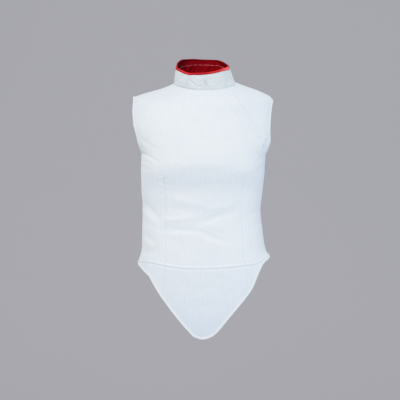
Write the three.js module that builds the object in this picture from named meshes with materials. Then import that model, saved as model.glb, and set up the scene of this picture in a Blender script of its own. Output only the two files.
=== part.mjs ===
import * as THREE from 'three';

// A sleeveless fencing jacket of conductive cloth, filled out with nobody in it.
// Millimetres, +Z up. The front faces -Y and the wearer's left is +X.
// The origin is the middle of the base of the neck, level with the tops of the shoulder seams.

// Cloth and sewing
const clothThickness = 1.6;
const seamGap = 0.3;
const tapeThickness = 0.8;
const tapeWidth = 4.5;
const hemClearance = 0.75;
const armholeClearance = 1.2;
const flapClearance = 0.4;
const flapThickness = 1.2;
const flapWidth = 28;
const flapLap = 8;
const liningThickness = 0.8;
const rimDepth = 4.5;

// Rings round the worn garment. A ring is named by its height at the centre front, and it tilts, so its
// sides and its centre back have heights of their own. `lean` lifts the wearer's left side over the right.
const ringColumns = [
  'height', 'sideHeight', 'backHeight', 'halfWidth', 'sway', 'lean',
  'frontDepth', 'backDepth', 'frontRoundness', 'backRoundness',
];
const rings = [
  [-665, -665, -665, 140.0, -1.0, 0, 81, 116, 2.2, 2.35],
  [-625, -625, -625, 152.0, 0.0, 0, 94, 116, 2.25, 2.35],
  [-580, -580, -580, 166.0, 2.0, 0, 103, 116, 2.3, 2.35],
  [-520, -520, -520, 176.0, 4.0, 0, 110, 116, 2.35, 2.35],
  [-470, -470, -470, 174.0, 5.5, 0, 113, 116, 2.4, 2.35],
  [-453, -453, -453, 169.5, 5.0, 0, 112.5, 114, 2.4, 2.35],
  [-438, -438, -438, 162.5, 2.6, 0, 111, 111, 2.4, 2.35],
  [-415, -415, -415, 158.5, 0.6, 0, 109, 105, 2.4, 2.35],
  [-380, -380, -380, 156.0, -1.6, 0, 104, 96, 2.35, 2.3],
  [-329, -329, -329, 152.5, -3.4, 0, 99, 87, 2.3, 2.3],
  [-280, -280, -280, 156.3, -2.5, 0, 102.5, 94, 2.4, 2.35],
  [-255, -255, -255, 158.0, -1.4, 0, 109, 99, 2.5, 2.4],
  [-235, -235, -235, 159.3, -0.8, 0, 118, 103, 2.6, 2.4],
  [-216, -216, -216, 160.0, 0.0, 0, 126, 106, 2.62, 2.4],
  [-200, -200, -200, 160.0, 0.5, 0, 128, 108, 2.58, 2.4],
  [-182, -182, -182, 160.3, 1.8, 0, 126.5, 109, 2.49, 2.4],
  [-165, -165, -165, 167.2, 2.8, 0, 122, 110, 2.42, 2.35],
  [-150, -149, -150, 175.0, 2.6, 0, 118, 110, 2.38, 2.3],
  [-130, -128, -129, 180.0, 0.0, -1, 112, 109, 2.3, 2.25],
  [-110, -104, -106, 184.0, -2.8, -2, 106, 106, 2.2, 2.15],
  [-90, -78, -82, 184.5, -3.0, -3, 99, 102, 2.05, 2.0],
  [-68, -42, -52, 180.0, 0.5, -4, 91, 96, 1.85, 1.9],
  [-54, -35, -34, 173.0, 1.5, -1, 86, 92, 1.85, 1.9],
  [-40, -23, -14, 145.0, 2.0, 1.5, 79, 84, 1.9, 1.95],
  [-27, -13, 3, 113.0, 2.5, 3, 72, 75, 1.95, 1.95],
  [-14, 0, 18, 78.0, 3.5, 2, 64, 64, 2.0, 2.0],
];

// Heights of the levels that seams and edges are set out from
const neckHeight = -14;
const shoulderHeight = -68;
const frontRowsUpShoulder = [-55, -42, -31, -22];
const rowsAtUnderarm = [-200, -190, -183.5, -180];
const backRowsAtUnderarm = [-199, -189, -180];
const sideTopDrop = 0.6;
const princessTopHeight = -212;
const hipHeight = -470;
const hipFadeHeight = -410;
const bodyRowCount = 17;
const bodyColumns = 16;
const sideColumns = 6;
const sideTopRows = 3;
const evenBand = { from: 0.1, to: 0.72 };
const apronSeamEnd = -545;
const apronCorners = { right: -0.9, left: 0.8 };
const apronRows = 9;
const apronCentreColumns = 14;
const apronSideColumns = 6;

// The armhole is an oval set out on the shares and heights of the cloth, from the shoulder point down
const armhole = { height: -124, halfHeight: 56, front: 0.24, back: 0.21, steps: 12 };
const yoke = { columns: 6, tapeShare: 0.3, lapShare: 0.4 };

// Seams and edges as the share of the way round from the centre front (0) to the side seam (1 or -1)
const seamColumns = ['height', 'share'];
const princessRight = [
  [-545, -0.402], [-501, -0.389], [-460, -0.385], [-396, -0.398], [-346, -0.401], [-294, -0.394],
  [-244, -0.398], [-218, -0.418], [-198, -0.469], [-190, -0.51], [-183.5, -0.57], [-180, -0.69],
  [-178, -0.905],
];
const princessLeft = [
  [-545, 0.403], [-499, 0.392], [-452, 0.395], [-410, 0.43], [-371, 0.442], [-333, 0.436], [-294, 0.421],
  [-255, 0.425], [-215, 0.44], [-200, 0.487], [-190, 0.535], [-183.5, 0.605], [-180, 0.7], [-178, 0.8],
];
const closureSeam = [
  [-178, 0.8], [-169.3, 0.72], [-156.9, 0.58], [-141.3, 0.53], [-124, 0.492], [-106.7, 0.452],
  [-91, 0.423], [-74, 0.385], [-55, 0.343], [-38, 0.368], [-21, 0.43], [-14, 0.5],
];
const edgeColumns = ['share', 'height'];
const hipSeam = [
  [-1, -467.8], [-0.85, -463], [-0.7, -460.5], [-0.56, -459], [-0.377, -463.7], [-0.229, -468.2],
  [-0.072, -469.4], [0.096, -468.2], [0.284, -464.7], [0.53, -459.7], [0.7, -450.5], [0.85, -448.6],
  [1, -449.3],
];
const hem = [
  [-2, -468], [-1.5, -469], [-1, -468], [-0.788, -470.9], [-0.632, -482.7], [-0.563, -491.6],
  [-0.499, -511.3],
  [-0.39, -551.4], [-0.28, -592.6], [-0.147, -634.9], [-0.09, -648], [0, -654], [0.09, -648], [0.154, -634.9],
  [0.269, -592.4], [0.38, -551.3], [0.457, -521], [0.537, -480.6], [0.607, -461.3], [0.735, -452.6],
  [1, -449.5], [1.4, -459], [2, -468],
];

// The stand collar: its top ring, the heights of its top edge by share, and the lap of its outer end over its inner end on the wearer's left
const collarTop = { halfWidth: 68, sway: -0.8, front: 59, back: 62 };
const collarEdge = [
  [-2, 57.5], [-1.75, 59], [-1.45, 58.5], [-1.2, 51.5], [-1, 41.5], [-0.85, 38.5], [-0.6, 33.5],
  [-0.45, 29], [-0.3, 26.5], [0, 27.5], [0.2, 30], [0.45, 35.5], [0.8, 41], [1, 43.5], [1.25, 47.5],
  [1.4, 52], [1.65, 57], [2, 57.5],
];
const collarLap = {
  innerEnd: -3.55, outerEnd: 0.7, rampStart: -0.1, rampEnd: 0.28, stand: 5.3, drop: 4.5, lift: 4.1,
};
const collarLift = 0.5;
const collarRows = 4;
const collarSteps = 46;
const lining = { foot: 0.05, rows: 3, inset: 0.004 };

// The facing lies inside the back, under the collar seam
const facing = { from: 1.15, to: 2.85, top: -15.4, bottom: -32.6, columns: 16, rows: 3 };

// Folds, each on one curve across the cloth seen from the front: a ridge has a positive rise, a trough a
// negative one. The back has like ones.
const foldColumns = ['side', 'fromX', 'fromZ', 'midX', 'midZ', 'toX', 'toZ', 'width', 'rise'];
const foldTaper = 0.8;
const foldSamples = 14;
const folds = [
  ['front', -120, -352, -30, -372, 30, -330, 13, -3.2],
  ['front', -70, -345, 10, -345, 70, -308, 12, 2.6],
  ['front', 10, -330, 60, -308, 118, -318, 12, -2.6],
  ['front', -60, -366, 20, -372, 92, -396, 14, -2.6],
  ['front', -20, -388, 30, -398, 96, -418, 13, 1.8],
  ['front', -150, -298, -134, -320, -100, -352, 11, -2.8],
  ['front', -150, -322, -140, -338, -122, -352, 10, 2.0],
  ['front', -152, -386, -138, -398, -112, -408, 10, -2.2],
  ['front', 148, -318, 132, -334, 104, -344, 11, -2.4],
  ['front', 146, -352, 128, -366, 108, -372, 10, -1.6],
  ['front', -166, -126, -146, -144, -112, -164, 9, -2.8],
  ['front', -156, -172, -140, -178, -116, -192, 9, -2.4],
  ['front', 160, -136, 154, -150, 138, -170, 9, -2.8],
  ['front', 152, -186, 138, -196, 112, -208, 9, -1.8],
  ['front', -90, -236, 0, -246, 92, -234, 16, -2.0],
  ['front', -60, -436, 0, -428, 70, -440, 15, -1.6],
  ['front', -50, -520, 10, -528, 40, -500, 16, -1.4],
  ['back', -118, -300, -40, -330, 60, -318, 14, -3.4],
  ['back', -70, -318, 20, -352, 112, -338, 14, 2.8],
  ['back', -110, -352, -10, -372, 96, -360, 15, -3.2],
  ['back', -140, -260, -118, -286, -84, -302, 12, -2.6],
  ['back', 142, -256, 112, -280, 92, -306, 12, -2.8],
  ['back', -152, -150, -128, -176, -96, -204, 12, -2.8],
  ['back', 150, -146, 130, -172, 104, -198, 12, -2.4],
  ['back', -70, -90, -10, -102, 56, -92, 16, -1.8],
  ['back', -30, -410, 10, -428, 70, -434, 15, 1.8],
];

const cloth = new THREE.MeshStandardMaterial({ color: 0xdfe5ea, roughness: 0.48, metalness: 0.25 });
const tape = new THREE.MeshStandardMaterial({ color: 0xe9edf0, roughness: 0.55, metalness: 0.15 });
const velvet = new THREE.MeshStandardMaterial({ color: 0x8c1220, roughness: 0.9, metalness: 0 });
const redEdge = new THREE.MeshStandardMaterial({ color: 0xc21c24, roughness: 0.85, metalness: 0 });

const quarterTurn = Math.PI / 2;

// Small steps for measuring slopes, in shares, millimetres of height and shares of the collar's rise
const shareProbe = 0.001;
const heightProbe = 0.5;
const riseProbe = 0.01;

// Smooth reading of tables
function curveThrough(xs, ys) {
  const steps = xs.slice(1).map((x, i) => x - xs[i]);
  const slopes = steps.map((step, i) => (ys[i + 1] - ys[i]) / step);
  const tangents = xs.map((x, i) => {
    if (i === 0) return slopes[0];
    if (i === xs.length - 1) return slopes[i - 1];
    const [before, after] = [slopes[i - 1], slopes[i]];
    if (before * after <= 0) return 0;
    const beforeWeight = 2 * steps[i] + steps[i - 1];
    const afterWeight = steps[i] + 2 * steps[i - 1];
    return (beforeWeight + afterWeight) / (beforeWeight / before + afterWeight / after);
  });
  return (x) => {
    let i = 0;
    while (i < xs.length - 2 && x > xs[i + 1]) i += 1;
    const t = THREE.MathUtils.clamp((x - xs[i]) / steps[i], 0, 1);
    const t2 = t * t;
    const t3 = t2 * t;
    return (
      (2 * t3 - 3 * t2 + 1) * ys[i] +
      (t3 - 2 * t2 + t) * steps[i] * tangents[i] +
      (3 * t2 - 2 * t3) * ys[i + 1] +
      (t3 - t2) * steps[i] * tangents[i + 1]
    );
  };
}

function tableCurve(rows, columns, from, to) {
  const fromIndex = columns.indexOf(from);
  const toIndex = columns.indexOf(to);
  return curveThrough(rows.map((row) => row[fromIndex]), rows.map((row) => row[toIndex]));
}

const ring = {};
for (const column of ringColumns.slice(1)) {
  ring[column] = tableCurve(rings, ringColumns, 'height', column);
}
const princessRightShare = tableCurve(princessRight, seamColumns, 'height', 'share');
const princessLeftShare = tableCurve(princessLeft, seamColumns, 'height', 'share');
const closureShare = tableCurve(closureSeam, seamColumns, 'height', 'share');
const hipSeamHeight = tableCurve(hipSeam, edgeColumns, 'share', 'height');
const hemHeight = tableCurve(hem, edgeColumns, 'share', 'height');
const collarEdgeHeight = tableCurve(collarEdge, edgeColumns, 'share', 'height');

// Places on the cloth: a share of the way round, 2 at the centre back, and a ring's height
function wrapShare(share) {
  return THREE.MathUtils.euclideanModulo(share + 2, 4) - 2;
}

function formPoint(share, height) {
  const round = wrapShare(share);
  const side = Math.sign(round);
  const angle = Math.abs(round) * quarterTurn;
  const isFront = Math.abs(round) <= 1;
  const roundness = isFront ? ring.frontRoundness(height) : ring.backRoundness(height);
  const across = Math.abs(Math.sin(angle));
  const along = Math.abs(Math.cos(angle));
  const reach = (across ** roundness + along ** roundness) ** (-1 / roundness);
  const depth = isFront ? -ring.frontDepth(height) : ring.backDepth(height);
  const sideHeight = ring.sideHeight(height);
  const middleHeight = isFront ? height : ring.backHeight(height);
  return new THREE.Vector3(
    ring.sway(height) + side * ring.halfWidth(height) * reach * across,
    depth * reach * along,
    sideHeight + (middleHeight - sideHeight) * along ** 2 + ring.lean(height) * side * across,
  );
}

function slopesAt(surface, a, b, outward) {
  const stepA = shareProbe;
  const stepB = surface.stepB;
  const alongA = surface.point(a + stepA, b, outward).sub(surface.point(a - stepA, b, outward));
  const alongB = surface.point(a, b + stepB, outward).sub(surface.point(a, b - stepB, outward));
  return [alongA.divideScalar(2 * stepA), alongB.divideScalar(2 * stepB)];
}

function formNormal(share, height) {
  const bare = { point: formPoint, stepB: heightProbe };
  const [alongShare, alongHeight] = slopesAt(bare, share, height);
  return alongShare.cross(alongHeight).normalize();
}

// Folds push the cloth in or out along its normal, strongest at the middle of their length
const foldCurves = folds.map((row) => {
  const fold = Object.fromEntries(foldColumns.map((column, i) => [column, row[i]]));
  const curve = new THREE.QuadraticBezierCurve(
    new THREE.Vector2(fold.fromX, fold.fromZ),
    new THREE.Vector2(fold.midX, fold.midZ),
    new THREE.Vector2(fold.toX, fold.toZ),
  );
  return { ...fold, points: curve.getPoints(foldSamples) };
});

function foldRise(place) {
  const side = place.y < 0 ? 'front' : 'back';
  const seen = new THREE.Vector2(place.x, place.z);
  let rise = 0;
  for (const fold of foldCurves) {
    if (fold.side !== side) continue;
    const distances = fold.points.map((point) => point.distanceTo(seen));
    const nearest = Math.min(...distances);
    const share = distances.indexOf(nearest) / foldSamples;
    const taper = Math.sin(Math.PI * share) ** foldTaper;
    rise += fold.rise * taper * Math.exp(-((nearest / fold.width) ** 2));
  }
  return rise;
}

const body = {
  stepB: heightProbe,
  point(share, height, outward) {
    const place = formPoint(share, height);
    return place.addScaledVector(formNormal(share, height), foldRise(place) + outward);
  },
};

// The collar runs from its inner end round the back to its outer end, which stands off to lap over
function collarRamp(share) {
  return THREE.MathUtils.smoothstep(share, collarLap.rampStart, collarLap.rampEnd);
}

function collarForm(share, rise) {
  const ramp = collarRamp(share);
  const foot = formPoint(share, neckHeight - collarLap.drop * ramp);
  foot.z += collarLift + collarLap.lift * ramp;
  const angle = wrapShare(share) * quarterTurn;
  const depth = Math.abs(wrapShare(share)) <= 1 ? collarTop.front : collarTop.back;
  const stand = collarLap.stand * ramp;
  const top = new THREE.Vector3(
    collarTop.sway + (collarTop.halfWidth + stand) * Math.sin(angle),
    -(depth + stand) * Math.cos(angle),
    collarEdgeHeight(wrapShare(share)),
  );
  return foot.lerp(top, rise);
}

const collarSurface = {
  stepB: riseProbe,
  point(share, rise, outward) {
    const bare = { point: collarForm, stepB: riseProbe };
    const [alongShare, alongRise] = slopesAt(bare, share, rise);
    const normal = alongShare.cross(alongRise).normalize();
    return collarForm(share, rise).addScaledVector(normal, outward);
  },
};

// Moving a place by a distance in millimetres, sideways from an edge that runs along `tangent`
function placeBeside(surface, place, tangent, distance) {
  const [alongA, alongB] = slopesAt(surface, place[0], place[1], 0);
  const normal = alongA.clone().cross(alongB).normalize();
  const sideways = normal.clone().cross(tangent).normalize().multiplyScalar(distance);
  const aa = alongA.dot(alongA);
  const bb = alongB.dot(alongB);
  const ab = alongA.dot(alongB);
  const sa = sideways.dot(alongA);
  const sb = sideways.dot(alongB);
  const scale = aa * bb - ab * ab;
  return [place[0] + (sa * bb - sb * ab) / scale, place[1] + (sb * aa - sa * ab) / scale];
}

// The places along an edge, moved to its left by a distance, seen from outside
function edgeBeside(surface, places, distance, isRing) {
  const points = places.map(([a, b]) => surface.point(a, b, 0));
  const count = places.length;
  return places.map((place, i) => {
    const before = isRing ? (i + count - 1) % count : Math.max(i - 1, 0);
    const after = isRing ? (i + 1) % count : Math.min(i + 1, count - 1);
    return placeBeside(surface, place, points[after].clone().sub(points[before]), distance);
  });
}

// Trims half a seam gap off the named edges of a grid of places, whose rows run up from the bottom
function trimGrid(surface, grid, edges) {
  const last = grid.length - 1;
  const lastColumn = grid[0].length - 1;
  const trimmed = grid.map((row) => row.map((place) => [...place]));
  const shift = (places, distance, write) => {
    const moved = edgeBeside(surface, places, distance, false);
    moved.forEach((place, i) => write(i, place[0] - places[i][0], place[1] - places[i][1]));
  };
  const add = (row, column, da, db) => {
    trimmed[row][column][0] += da;
    trimmed[row][column][1] += db;
  };
  const half = seamGap / 2;
  if (edges.includes('bottom')) shift(grid[0], half, (i, da, db) => add(0, i, da, db));
  if (edges.includes('top')) shift(grid[last], -half, (i, da, db) => add(last, i, da, db));
  if (edges.includes('left')) shift(grid.map((row) => row[0]), -half, (i, da, db) => add(i, 0, da, db));
  if (edges.includes('right')) {
    shift(grid.map((row) => row[lastColumn]), half, (i, da, db) => add(i, lastColumn, da, db));
  }
  return trimmed;
}

// A closed wall between two layers of points. Its rows close on themselves where isRing is true.
function wallGeometry(outerRows, innerRows, isRing) {
  const rowCount = outerRows.length;
  const columnCount = outerRows[0].length;
  const layerSize = rowCount * columnCount;
  const points = [...outerRows.flat(), ...innerRows.flat()];
  const outer = (row, column) => (row % rowCount) * columnCount + column;
  const inner = (row, column) => outer(row, column) + layerSize;
  const faces = [];
  const quad = (a, b, c, d) => faces.push([a, b, c], [a, c, d]);
  const spans = isRing ? rowCount : rowCount - 1;
  const lastColumn = columnCount - 1;
  for (let row = 0; row < spans; row += 1) {
    const up = row + 1;
    for (let column = 0; column < lastColumn; column += 1) {
      const next = column + 1;
      quad(outer(row, column), outer(row, next), outer(up, next), outer(up, column));
      quad(inner(row, column), inner(up, column), inner(up, next), inner(row, next));
    }
    quad(outer(row, lastColumn), inner(row, lastColumn), inner(up, lastColumn), outer(up, lastColumn));
    quad(outer(row, 0), outer(up, 0), inner(up, 0), inner(row, 0));
  }
  if (!isRing) {
    const last = rowCount - 1;
    for (let column = 0; column < lastColumn; column += 1) {
      const next = column + 1;
      quad(inner(0, column), inner(0, next), outer(0, next), outer(0, column));
      quad(outer(last, column), outer(last, next), inner(last, next), inner(last, column));
    }
  }
  const volume = faces.reduce((sum, [a, b, c]) => {
    return sum + points[a].dot(points[b].clone().cross(points[c]));
  }, 0);
  const order = volume > 0 ? [0, 1, 2] : [0, 2, 1];
  const coordinates = points.flatMap((point) => point.toArray());
  const geometry = new THREE.BufferGeometry();
  geometry.setAttribute('position', new THREE.Float32BufferAttribute(coordinates, 3));
  geometry.setIndex(faces.flatMap((face) => order.map((i) => face[i])));
  geometry.computeVertexNormals();
  return geometry;
}

// Cloth over a grid of places, between two heights above the surface
function clothGeometry(surface, grid, top, bottom) {
  const layer = (outward) => grid.map((row) => row.map(([a, b]) => surface.point(a, b, outward)));
  return wallGeometry(layer(top), layer(bottom), false);
}

// A tape folded over an edge: its legs lie on both faces of a stack of cloth of the given thickness
function bindingGeometry(surface, edge, options) {
  const { stack, width, clearance, inward, isRing } = options;
  const near = edgeBeside(surface, edge, inward * width, isRing);
  const past = edgeBeside(surface, edge, -inward * clearance, isRing);
  const far = edgeBeside(surface, edge, -inward * (clearance + tapeThickness), isRing);
  const above = clearance;
  const below = -stack - clearance;
  const strip = (places, outward) => places.map(([a, b]) => surface.point(a, b, outward));
  const columns = [
    [strip(near, above + tapeThickness), strip(near, above)],
    [strip(far, above + tapeThickness), strip(past, above)],
    [strip(far, below - tapeThickness), strip(past, below)],
    [strip(near, below - tapeThickness), strip(near, below)],
  ];
  const outerRows = edge.map((place, i) => columns.map((column) => column[0][i]));
  const innerRows = edge.map((place, i) => columns.map((column) => column[1][i]));
  return wallGeometry(outerRows, innerRows, isRing);
}

// Rows of the body, from the hip seam up
function evenly(from, to, count) {
  return Array.from({ length: count + 1 }, (unused, i) => THREE.MathUtils.lerp(from, to, i / count));
}

const lowerRows = evenly(hipHeight, princessTopHeight, bodyRowCount);
const armholeAngles = evenly(0, Math.PI, armhole.steps);
const armholeRows = armholeAngles.slice(1, -1).reverse().map(armholeHeight);
const shoulderRows = [shoulderHeight, ...frontRowsUpShoulder, neckHeight];
const seamRowsUp = [...lowerRows, ...rowsAtUnderarm];
const frontRows = [...seamRowsUp, ...armholeRows, ...shoulderRows];
const backRows = [...lowerRows, ...backRowsAtUnderarm, ...armholeRows, ...shoulderRows];

function armholeHeight(angle) {
  return armhole.height + armhole.halfHeight * Math.cos(angle);
}

function armholeCut(height) {
  const level = (height - armhole.height) / armhole.halfHeight;
  return Math.sqrt(Math.max(0, 1 - level * level));
}

// Rows near the hip bend to follow its seam, and rows near the back's hem follow the hem
function bentHeight(share, height, edgeHeight) {
  const fade = THREE.MathUtils.clamp((height - hipFadeHeight) / (hipHeight - hipFadeHeight), 0, 1);
  return height + (edgeHeight(share) - hipHeight) * fade;
}

// Rows above the bust crowd together at the edges of a panel and even out across its middle
function evenRows(rows) {
  const first = rows.indexOf(princessTopHeight);
  const middle = evenly(princessTopHeight, neckHeight, rows.length - 1 - first);
  return rows.map((height, i) => (i <= first ? height : middle[i - first]));
}

function rowHeight(edgeHeight, middleHeight, column, columnCount) {
  const fromMiddle = Math.abs((2 * column) / (columnCount - 1) - 1);
  const edgeWeight = THREE.MathUtils.smoothstep(fromMiddle, evenBand.from, evenBand.to);
  return THREE.MathUtils.lerp(middleHeight, edgeHeight, edgeWeight);
}

function shareShift(share, height, distance) {
  const [alongShare] = slopesAt(body, share, height, 0);
  return distance / alongShare.length();
}

// Shares across a row: given places at each end and even steps between them
function spread(leftShares, rightShares, count) {
  const from = leftShares[leftShares.length - 1];
  const to = rightShares[0];
  return [...leftShares, ...evenly(from, to, count).slice(1, -1), ...rightShares];
}

function armEdgeShares(share, height, towards) {
  return [share, share + towards * shareShift(share, height, tapeWidth)];
}

function frontRightShare(height) {
  if (height >= shoulderHeight) return -1;
  if (height > armholeRows[0]) return -1 + armhole.front * armholeCut(height);
  return princessRightShare(height);
}

function closureShares(height) {
  const seam = height >= armholeRows[0] ? closureShare(height) : princessLeftShare(height);
  const innerWidth = flapWidth - flapLap;
  return [innerWidth, innerWidth / 2, 0].map((width) => seam - shareShift(seam, height, width));
}

function flapEdgeShare(height) {
  const seam = closureShare(height);
  return seam + shareShift(seam, height, flapLap);
}

function yokeEdgeShare(height) {
  if (height >= shoulderHeight) return 1;
  return 1 - armhole.front * armholeCut(height);
}

// Panels as grids of places
function frontCentreGrid() {
  const middleRows = evenRows(frontRows);
  return frontRows.map((edgeHeight, row) => {
    const right = armEdgeShares(frontRightShare(edgeHeight), edgeHeight, 1);
    return spread(right, closureShares(edgeHeight), bodyColumns).map((share, column, all) => {
      const height = rowHeight(edgeHeight, middleRows[row], column, all.length);
      return [share, bentHeight(share, height, hipSeamHeight)];
    });
  });
}

function frontSideGrid(princessShare, side) {
  const evenFrom = lowerRows.length - 1 - sideTopRows;
  const rows = [...seamRowsUp, armholeRows[0] - sideTopDrop];
  const seamRows = [...seamRowsUp, armholeRows[0]];
  const sideTop = armhole.height - armhole.halfHeight - seamGap;
  return rows.map((height, i) => {
    const climb = Math.max(0, (i - evenFrom) / (rows.length - 1 - evenFrom));
    const sideHeight = i <= evenFrom ? height : THREE.MathUtils.lerp(rows[evenFrom], sideTop, climb);
    const places = evenly(0, 1, sideColumns).map((step) => {
      const share = THREE.MathUtils.lerp(princessShare(seamRows[i]), side, step);
      const level = THREE.MathUtils.lerp(height, sideHeight, step);
      return [share, bentHeight(share, level, hipSeamHeight)];
    });
    return side > 0 ? places : places.reverse();
  });
}

function yokeGrid() {
  const rows = [...armholeRows, ...shoulderRows];
  return rows.map((height) => {
    const seam = closureShare(height);
    const edge = yokeEdgeShare(height);
    const room = edge - seam;
    const tapeEdge = edge - Math.min(shareShift(edge, height, tapeWidth), room * yoke.tapeShare);
    const lap = Math.min(flapEdgeShare(height), seam + room * yoke.lapShare);
    return spread([seam, lap], [tapeEdge, edge], yoke.columns).map((share) => [share, height]);
  });
}

function flapGrid() {
  const rows = [...armholeRows.slice(1), ...shoulderRows.slice(0, -1)];
  return rows.map((height) => {
    return [...closureShares(height), flapEdgeShare(height)].map((share) => [share, height]);
  });
}

function apronGrid(leftShare, rightShare, columnCount) {
  const columns = evenly(0, 1, columnCount).map((step) => {
    const shareAt = (height) => THREE.MathUtils.lerp(leftShare(height), rightShare(height), step);
    const low = hemHeight(shareAt(apronSeamEnd));
    const high = hipSeamHeight(shareAt(hipHeight)) - seamGap;
    return { shareAt, low, high };
  });
  return evenly(0, 1, apronRows).map((step, row) => {
    return columns.map(({ shareAt, low, high }) => {
      const rise = (high - low) * step;
      const height = low + (row === 1 ? Math.min(tapeWidth + 1, rise) : rise);
      return [shareAt(height), height];
    });
  });
}

function backShares(height) {
  const cut = height < shoulderHeight && height >= armholeRows[0] ? armhole.back * armholeCut(height) : 0;
  const left = armEdgeShares(1 + cut, height, 1);
  const right = armEdgeShares(3 - cut, height, -1).reverse();
  return spread(left, right, bodyColumns);
}

function backGrid() {
  const middleRows = evenRows(backRows);
  return backRows.map((edgeHeight, row) => {
    return backShares(edgeHeight).map((share, column, all) => {
      const height = rowHeight(edgeHeight, middleRows[row], column, all.length);
      return [share, bentHeight(wrapShare(share), height, hemHeight)];
    });
  });
}

function collarGrid(bottom, top, rowCount, inset) {
  const shares = evenly(collarLap.innerEnd + inset, collarLap.outerEnd - inset, collarSteps);
  return evenly(bottom, top, rowCount).map((rise) => shares.map((share) => [share, rise]));
}

function facingGrid() {
  const shares = evenly(facing.from, facing.to, facing.columns);
  return evenly(facing.bottom, facing.top, facing.rows).map((height) => {
    return shares.map((share) => [share, height]);
  });
}

// Edges that are bound with tape
function armholeEdge(side) {
  const count = armhole.steps * 2;
  return Array.from({ length: count * 2 }, (unused, i) => {
    const angle = (i / count) * Math.PI;
    const cut = Math.sin(angle) > 0 ? armhole.front : armhole.back;
    return [side * (1 - cut * Math.sin(angle)), armholeHeight(angle)];
  });
}

function hemEdge() {
  const right = princessRightShare(apronSeamEnd);
  const left = princessLeftShare(apronSeamEnd);
  const shares = [
    -1,
    ...evenly(apronCorners.right, right, apronSideColumns),
    ...evenly(right, left, apronCentreColumns).slice(1, -1),
    ...evenly(left, apronCorners.left, apronSideColumns),
    (1 + apronCorners.left) / 2,
    1,
    ...backShares(hipHeight).slice(1, -1),
  ];
  return shares.map((share) => [share, hemHeight(wrapShare(share))]);
}

const garment = new THREE.Group();

function sew(name, geometry, material) {
  const mesh = new THREE.Mesh(geometry, material.clone());
  mesh.name = name;
  garment.add(mesh);
}

function sewPanel(name, grid, edges) {
  sew(name, clothGeometry(body, trimGrid(body, grid, edges), 0, -clothThickness), cloth);
}

// Front, in the order that it is cut
sewPanel('front_centre', frontCentreGrid(), ['left', 'right', 'bottom']);
sewPanel('front_side_right', frontSideGrid(princessRightShare, -1), ['left', 'right', 'bottom', 'top']);
sewPanel('front_side_left', frontSideGrid(princessLeftShare, 1), ['left', 'right', 'bottom', 'top']);
sewPanel('shoulder_left', yokeGrid(), ['left', 'right', 'bottom']);
sewPanel('back', backGrid(), ['left', 'right']);

// Apron under the curved hip seam
const apronCentre = apronGrid(princessRightShare, princessLeftShare, apronCentreColumns);
const apronRight = apronGrid(() => apronCorners.right, princessRightShare, apronSideColumns);
const apronLeft = apronGrid(princessLeftShare, () => apronCorners.left, apronSideColumns);
sewPanel('apron_centre', apronCentre, ['left', 'right', 'top']);
sewPanel('apron_side_right', apronRight, ['right', 'top']);
sewPanel('apron_side_left', apronLeft, ['left', 'top']);

// Closure flap on the slanting front edge
const flapTop = flapClearance + flapThickness;
sew('closure_flap', clothGeometry(body, flapGrid(), flapTop, flapClearance), cloth);

// Collar with its lining, its bound edge and the facing below it
const liningTop = -clothThickness - seamGap;
const facingTop = -clothThickness - seamGap * 3;
const collarBand = collarGrid(0, 1, collarRows, 0);
const liningBand = collarGrid(lining.foot, 1, lining.rows, lining.inset);
const rimPlaces = collarGrid(1, 1, 1, 0)[0];
const rimBinding = {
  stack: clothThickness + seamGap + liningThickness,
  width: rimDepth,
  clearance: seamGap,
  inward: -1,
  isRing: false,
};
sew('collar', clothGeometry(collarSurface, collarBand, 0, -clothThickness), cloth);
const liningBottom = liningTop - liningThickness;
const facingBottom = facingTop - liningThickness;
sew('collar_lining', clothGeometry(collarSurface, liningBand, liningTop, liningBottom), velvet);
sew('collar_binding', bindingGeometry(collarSurface, rimPlaces, rimBinding), redEdge);
sew('back_neck_facing', clothGeometry(body, facingGrid(), facingTop, facingBottom), velvet);

// Bound armholes and hem
const armholeBinding = { stack: clothThickness, width: tapeWidth, clearance: armholeClearance, isRing: true };
const rightBinding = { ...armholeBinding, inward: 1 };
const leftBinding = { ...armholeBinding, inward: -1 };
const lowerBinding = { ...armholeBinding, clearance: hemClearance, inward: 1 };
sew('armhole_binding_right', bindingGeometry(body, armholeEdge(-1), rightBinding), tape);
sew('armhole_binding_left', bindingGeometry(body, armholeEdge(1), leftBinding), tape);
sew('hem_binding', bindingGeometry(body, hemEdge(), lowerBinding), tape);

export default garment;
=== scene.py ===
import math

import bpy
import numpy as np
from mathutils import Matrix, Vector
from mathutils.bvhtree import BVHTree


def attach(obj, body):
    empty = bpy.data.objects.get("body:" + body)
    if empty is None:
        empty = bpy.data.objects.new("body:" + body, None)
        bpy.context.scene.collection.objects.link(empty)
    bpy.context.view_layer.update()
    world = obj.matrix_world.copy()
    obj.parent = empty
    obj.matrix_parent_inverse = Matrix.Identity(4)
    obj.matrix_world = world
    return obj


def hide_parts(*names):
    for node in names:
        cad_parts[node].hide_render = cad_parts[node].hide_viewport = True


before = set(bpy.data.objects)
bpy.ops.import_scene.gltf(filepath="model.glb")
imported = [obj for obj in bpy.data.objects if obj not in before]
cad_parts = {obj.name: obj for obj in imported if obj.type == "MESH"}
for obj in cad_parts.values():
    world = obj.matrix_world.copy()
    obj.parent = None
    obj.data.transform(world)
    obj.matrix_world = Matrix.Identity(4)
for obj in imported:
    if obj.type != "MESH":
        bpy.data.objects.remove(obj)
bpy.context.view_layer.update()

mm = 0.001
body = "root"

# The camera stands in front and a little above, with a long lens
cameraSet = {
    "distance": 5.0, "elevation": 6.0, "target": (-0.0076, 0.0, -0.303), "seenWidth": 1.04, "sensor": 36.0,
}

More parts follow.
